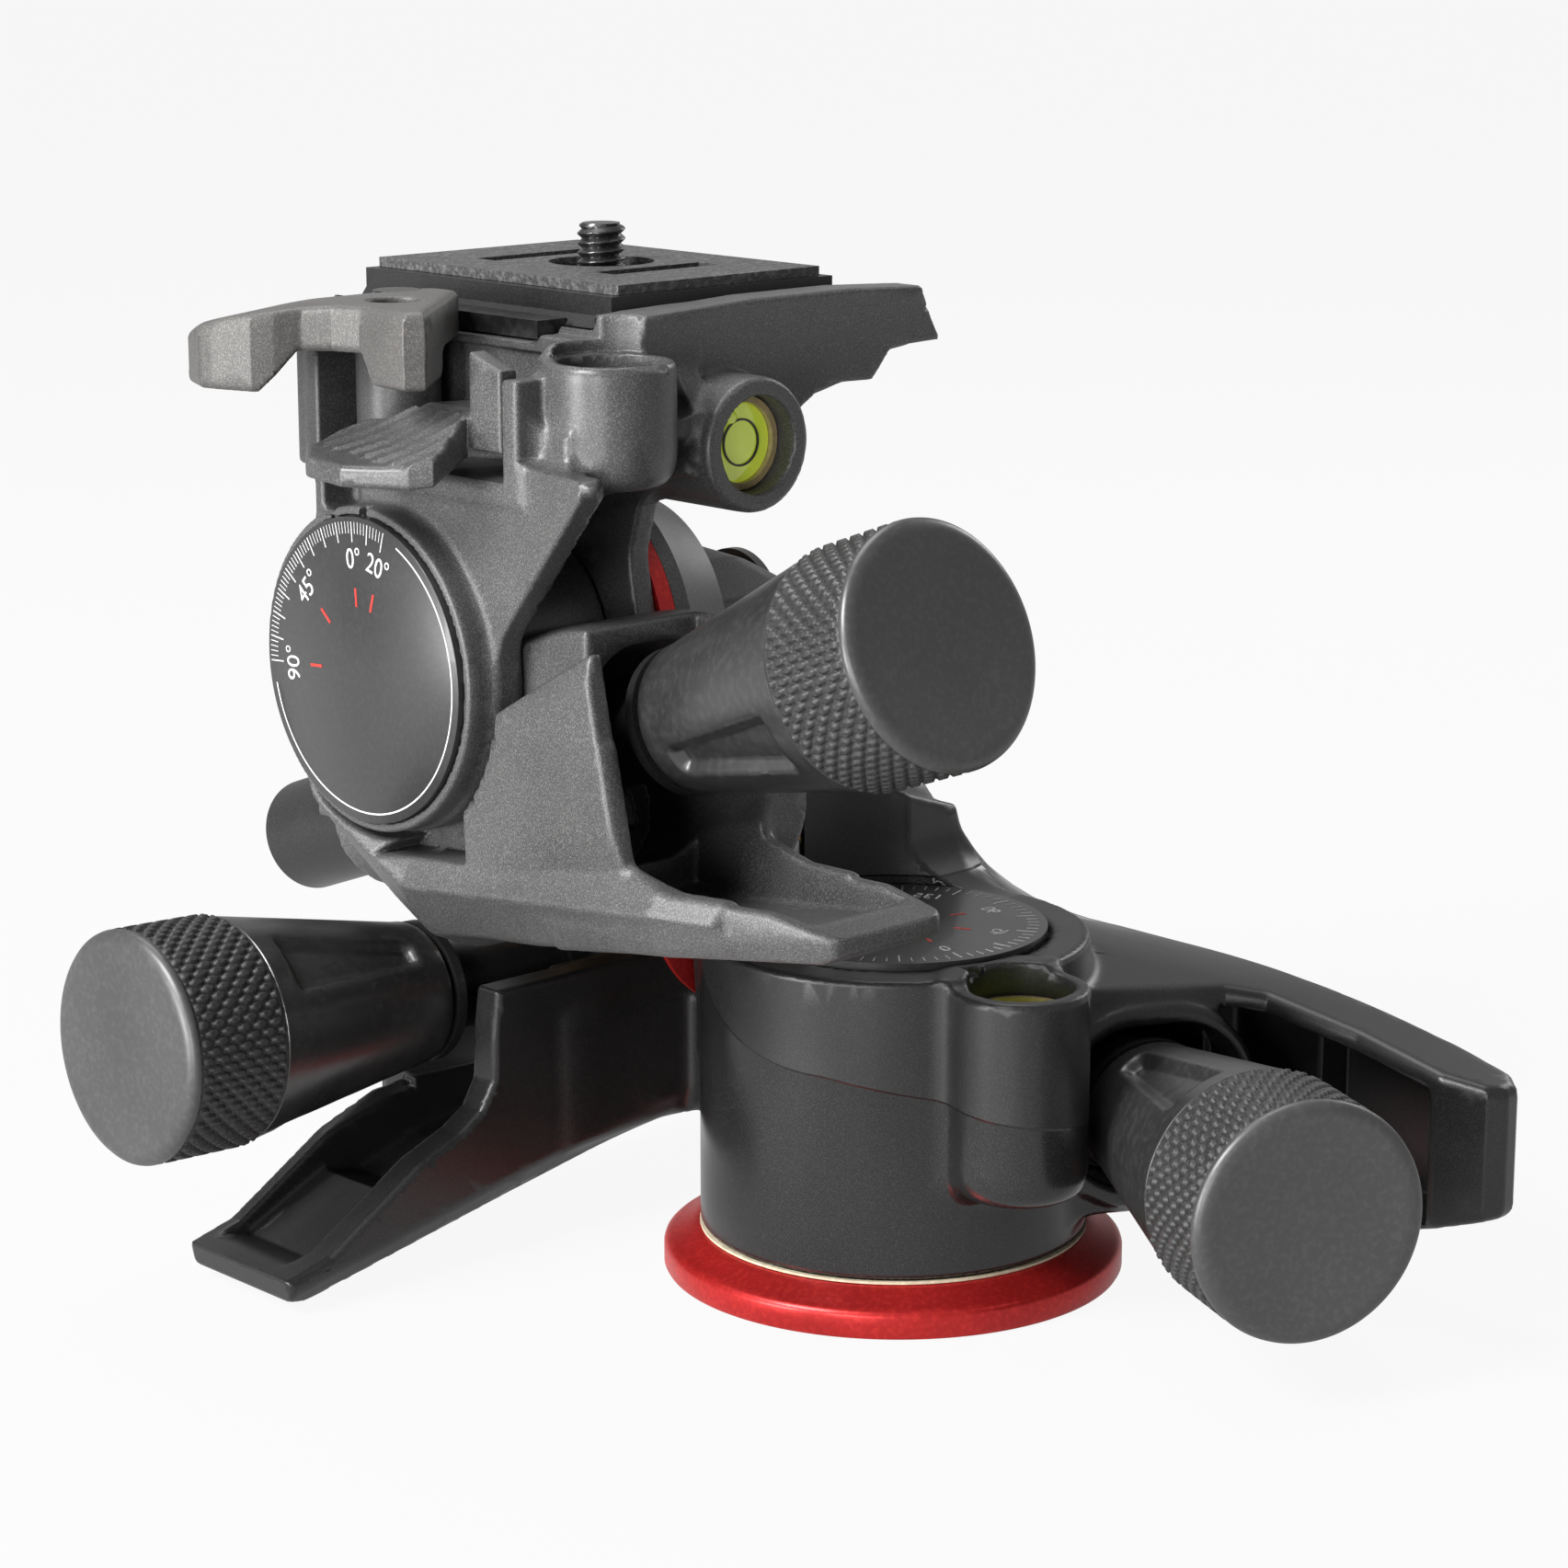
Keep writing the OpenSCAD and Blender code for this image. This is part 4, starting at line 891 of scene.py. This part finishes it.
FINISH = {
    "grey_polymer": finish("moulded grey", grey(0.046), grey(0.145, 0.01), 0.42, size=5200, bump=0.3,
                           Specular_IOR_Level=0.6),
    "black_polymer": finish("moulded black", grey(0.010), grey(0.028), 0.38, size=5200, bump=0.2,
                            Specular_IOR_Level=0.5),
    "soft_black": finish("soft touch black", grey(0.020), grey(0.032), 0.30, size=900, bump=0.05,
                         Specular_IOR_Level=0.8),
    "rubber": finish("ribbed rubber", grey(0.018), grey(0.042), 0.52, size=1800, bump=0.3),
    "dial_black": finish("printed dial", grey(0.026), grey(0.034), 0.30, size=1500, bump=0.03,
                         Coat_Weight=0.15),
    "lever_grey": finish("cast lever grey", grey(0.085, 0.03), grey(0.155, 0.05), 0.46, size=4200, bump=0.5,
                         depth=0.00008, Metallic=0.3),
    "red_metal": finish("red anodised", (0.46, 0.018, 0.018), (0.58, 0.030, 0.026), 0.34, size=1400,
                        bump=0.04,
                        Metallic=0.6),
    "steel": finish("bright steel", grey(0.46), grey(0.62), 0.26, size=700, bump=0.05, Metallic=1.0),
    "dark_steel": finish("blackened steel", grey(0.07), grey(0.13), 0.30, size=700, bump=0.05, Metallic=0.9),
    "brass": finish("brass", (0.52, 0.36, 0.13), (0.68, 0.48, 0.20), 0.30, size=700, bump=0.05, Metallic=1.0),
    "bronze": finish("bronze", (0.40, 0.26, 0.13), (0.54, 0.36, 0.19), 0.34, size=700, bump=0.05,
                     Metallic=1.0),
    # The lime liquid also has a painted glow: its emission makes the vial give light, though it is no lamp.
    "vial": finish("lime liquid with painted glow", (0.52, 0.62, 0.04), (0.62, 0.72, 0.08), 0.10, size=90, bump=0.0,
                   Coat_Weight=0.8,
                   Emission_Color=(0.52, 0.64, 0.05, 1), Emission_Strength=0.3),
    "pale_seal": finish("pale seal", (0.55, 0.48, 0.34), (0.72, 0.64, 0.48), 0.6, size=1200),
}
WHITE_PRINT = finish("white print", grey(0.62), grey(0.74), 0.5, size=900, bump=0.0)
RED_PRINT = finish("red print", (0.62, 0.03, 0.02), (0.72, 0.04, 0.03), 0.5, size=900, bump=0.0)
BLACK_LINE = finish("black line", grey(0.008), grey(0.014), 0.3, size=900, bump=0.0)
TAN = finish("tan seat", (0.42, 0.33, 0.16), (0.52, 0.42, 0.22), 0.4, size=900, bump=0.05)
CAP = finish("cap black", grey(0.038), grey(0.055), 0.40, size=1300, bump=0.06, Specular_IOR_Level=0.8)
PAD = finish("pad rubber", grey(0.040), grey(0.120), 0.55, size=1500, bump=0.9, depth=0.0003)


def seam_line(material):
    """Below the moulding line the drum is polished: lower roughness, and a fine step at the line."""
    n, l = material.node_tree.nodes, material.node_tree.links
    shader, bump = n["Principled BSDF"], n["Bump"]
    height = n.new("ShaderNodeAttribute")
    height.attribute_name = "seam"
    above = n.new("ShaderNodeMapRange")
    above.inputs["From Min"].default_value = -0.12
    above.inputs["From Max"].default_value = 0.12
    l.new(height.outputs["Fac"], above.inputs["Value"])
    grain = n["Group"]
    polish = n.new("ShaderNodeMapRange")
    polish.inputs["To Min"].default_value = 0.58
    l.new(above.outputs["Result"], polish.inputs["Value"])
    rough = n.new("ShaderNodeMath")
    rough.operation = "MULTIPLY"
    l.new(polish.outputs["Result"], rough.inputs[0])
    l.new(grain.outputs["Roughness"], rough.inputs[1])
    l.new(rough.outputs["Value"], shader.inputs["Roughness"])
    edge = n.new("ShaderNodeBump")
    edge.inputs["Strength"].default_value = 0.9
    edge.inputs["Distance"].default_value = 0.0002
    l.new(above.outputs["Result"], edge.inputs["Height"])
    l.new(bump.outputs["Normal"], edge.inputs["Normal"])
    l.new(edge.outputs["Normal"], shader.inputs["Normal"])
    return material


def dress(piece, material):
    """One material on every face."""
    piece.data.materials.clear()
    piece.data.materials.append(material)


for name, o in frame["nodes"].items():
    dress(o, FINISH[SLOT_OF[name]])
for piece, node in ((tilt_shell, "tilt_body"), (pan_shell, "pan_housing"), (platform_shell, "platform_body"),
                    (quick_shell, "quick_lever"), (lock_shell, "lock_lever"), (flange, "base_flange"),
                    (screw, "camera_screw")):
    dress(piece, FINISH[SLOT_OF[node]])
dress(pan_shell, seam_line(finish("housing black", grey(0.010), grey(0.028), 0.38, size=5200, bump=0.2)))
dress(frame["nodes"]["clamp_jaw"], FINISH["dark_steel"])
dress(frame["nodes"]["plate_pad"], PAD)
for u in "abc":
    dress(bpy.data.objects[f"knob_{u}_cone"], FINISH["soft_black"])
    dress(bpy.data.objects[f"knob_{u}_band"], FINISH["rubber"])
    dress(bpy.data.objects[f"knob_{u}_face"], CAP)
dress(dial_face, FINISH["dial_black"])
for o in front_white + deck_white:
    dress(o, WHITE_PRINT)
for o in (front_red, deck_red):
    dress(o, RED_PRINT)
for disc, seat, circle, bubble in (round_level, tube_level):
    dress(disc, FINISH["vial"])
    dress(seat, TAN)
    dress(circle, BLACK_LINE)
    dress(bubble, FINISH["vial"])

# %% [markdown]
# ## Camera, light and ground
# The camera stands where the photograph's stood: 0.54 m away with a 93 mm lens. Soft lamps light the left
# and the top; the surroundings are white to the camera and to reflections below, and only mild on the object.
# %%
lens = bpy.data.cameras.new("camera")
lens.lens, lens.sensor_width = 93.1, 36
camera = bpy.data.objects.new("camera", lens)
camera.location = (-0.3560, -0.3581, 0.18235)
camera.rotation_euler = (math.radians(90 - 13.18), 0, math.radians(-43.21))
bpy.context.scene.collection.objects.link(camera)
bpy.context.scene.camera = camera


def lamp(name, place, aim, size, power):
    """A soft square lamp at place, turned to aim; lengths in metres."""
    light = bpy.data.lights.new(name, "AREA")
    light.shape, light.size, light.energy = "SQUARE", size, power
    o = bpy.data.objects.new(name, light)
    o.location = place
    o.rotation_euler = (Vector(aim) - Vector(place)).to_track_quat("-Z", "Y").to_euler()
    bpy.context.scene.collection.objects.link(o)
    return o


lamp("key", (-0.78, 0.10, 0.72), (-0.02, 0, 0.07), 0.40, 15.0)
lamp("left", (-0.88, 0.16, 0.08), (-0.05, 0, 0.06), 0.3, 7.0)
lamp("front left", (-0.78, -0.36, 0.12), (0, -0.05, 0.05), 0.3, 3.0)
lamp("top", (0.10, 0.35, 0.95), (0, 0, 0.07), 0.6, 4.0)
lamp("right rim", (0.85, 0.10, 0.45), (0, 0, 0.07), 0.3, 1.5)

def seen_share(tree, gloss):
    """1 for rays from the camera or through glass, the gloss share for reflections, otherwise 0."""
    n, l = tree.nodes, tree.links
    path = n.new("ShaderNodeLightPath")
    straight = n.new("ShaderNodeMath")
    straight.operation = "MAXIMUM"
    l.new(path.outputs["Is Camera Ray"], straight.inputs[0])
    l.new(path.outputs["Is Transmission Ray"], straight.inputs[1])
    share = n.new("ShaderNodeMath")
    share.operation = "MULTIPLY_ADD"
    share.inputs[1].default_value = gloss
    l.new(path.outputs["Is Glossy Ray"], share.inputs[0])
    l.new(straight.outputs["Value"], share.inputs[2])
    return share.outputs["Value"]


world = bpy.data.worlds.new("surroundings")
bpy.context.scene.world = world
world.use_nodes = True
n, l = world.node_tree.nodes, world.node_tree.links
sky = n["Background"]
sky.inputs["Color"].default_value = (1, 1, 1, 1)
level = n.new("ShaderNodeMapRange")
level.inputs["To Min"].default_value = 0.08
level.inputs["To Max"].default_value = 1.0
l.new(seen_share(world.node_tree, 0.4), level.inputs["Value"])
l.new(level.outputs["Result"], sky.inputs["Strength"])

ground = bpy.data.meshes.new("floor")
ground.from_pydata([(-6, -6, 0), (6, -6, 0), (6, 6, 0), (-6, 6, 0)], [], [(0, 1, 2, 3)])
floor = bpy.data.objects.new("floor", ground)
bpy.context.scene.collection.objects.link(floor)
pale = bpy.data.materials.new("white ground")
pale.use_nodes = True
n, l = pale.node_tree.nodes, pale.node_tree.links
n["Principled BSDF"].inputs["Base Color"].default_value = (0.4, 0.4, 0.4, 1)
n["Principled BSDF"].inputs["Roughness"].default_value = 0.9
glow = n.new("ShaderNodeEmission")
share = n.new("ShaderNodeMath")
share.operation = "MULTIPLY"
share.inputs[1].default_value = 0.92
mix = n.new("ShaderNodeMixShader")
l.new(seen_share(pale.node_tree, 0.6), share.inputs[0])
l.new(share.outputs["Value"], mix.inputs["Fac"])
l.new(n["Principled BSDF"].outputs["BSDF"], mix.inputs[1])
l.new(glow.outputs["Emission"], mix.inputs[2])
l.new(mix.outputs["Shader"], n["Material Output"].inputs["Surface"])
floor.data.materials.append(pale)
bpy.context.scene.view_settings.view_transform = "Standard"
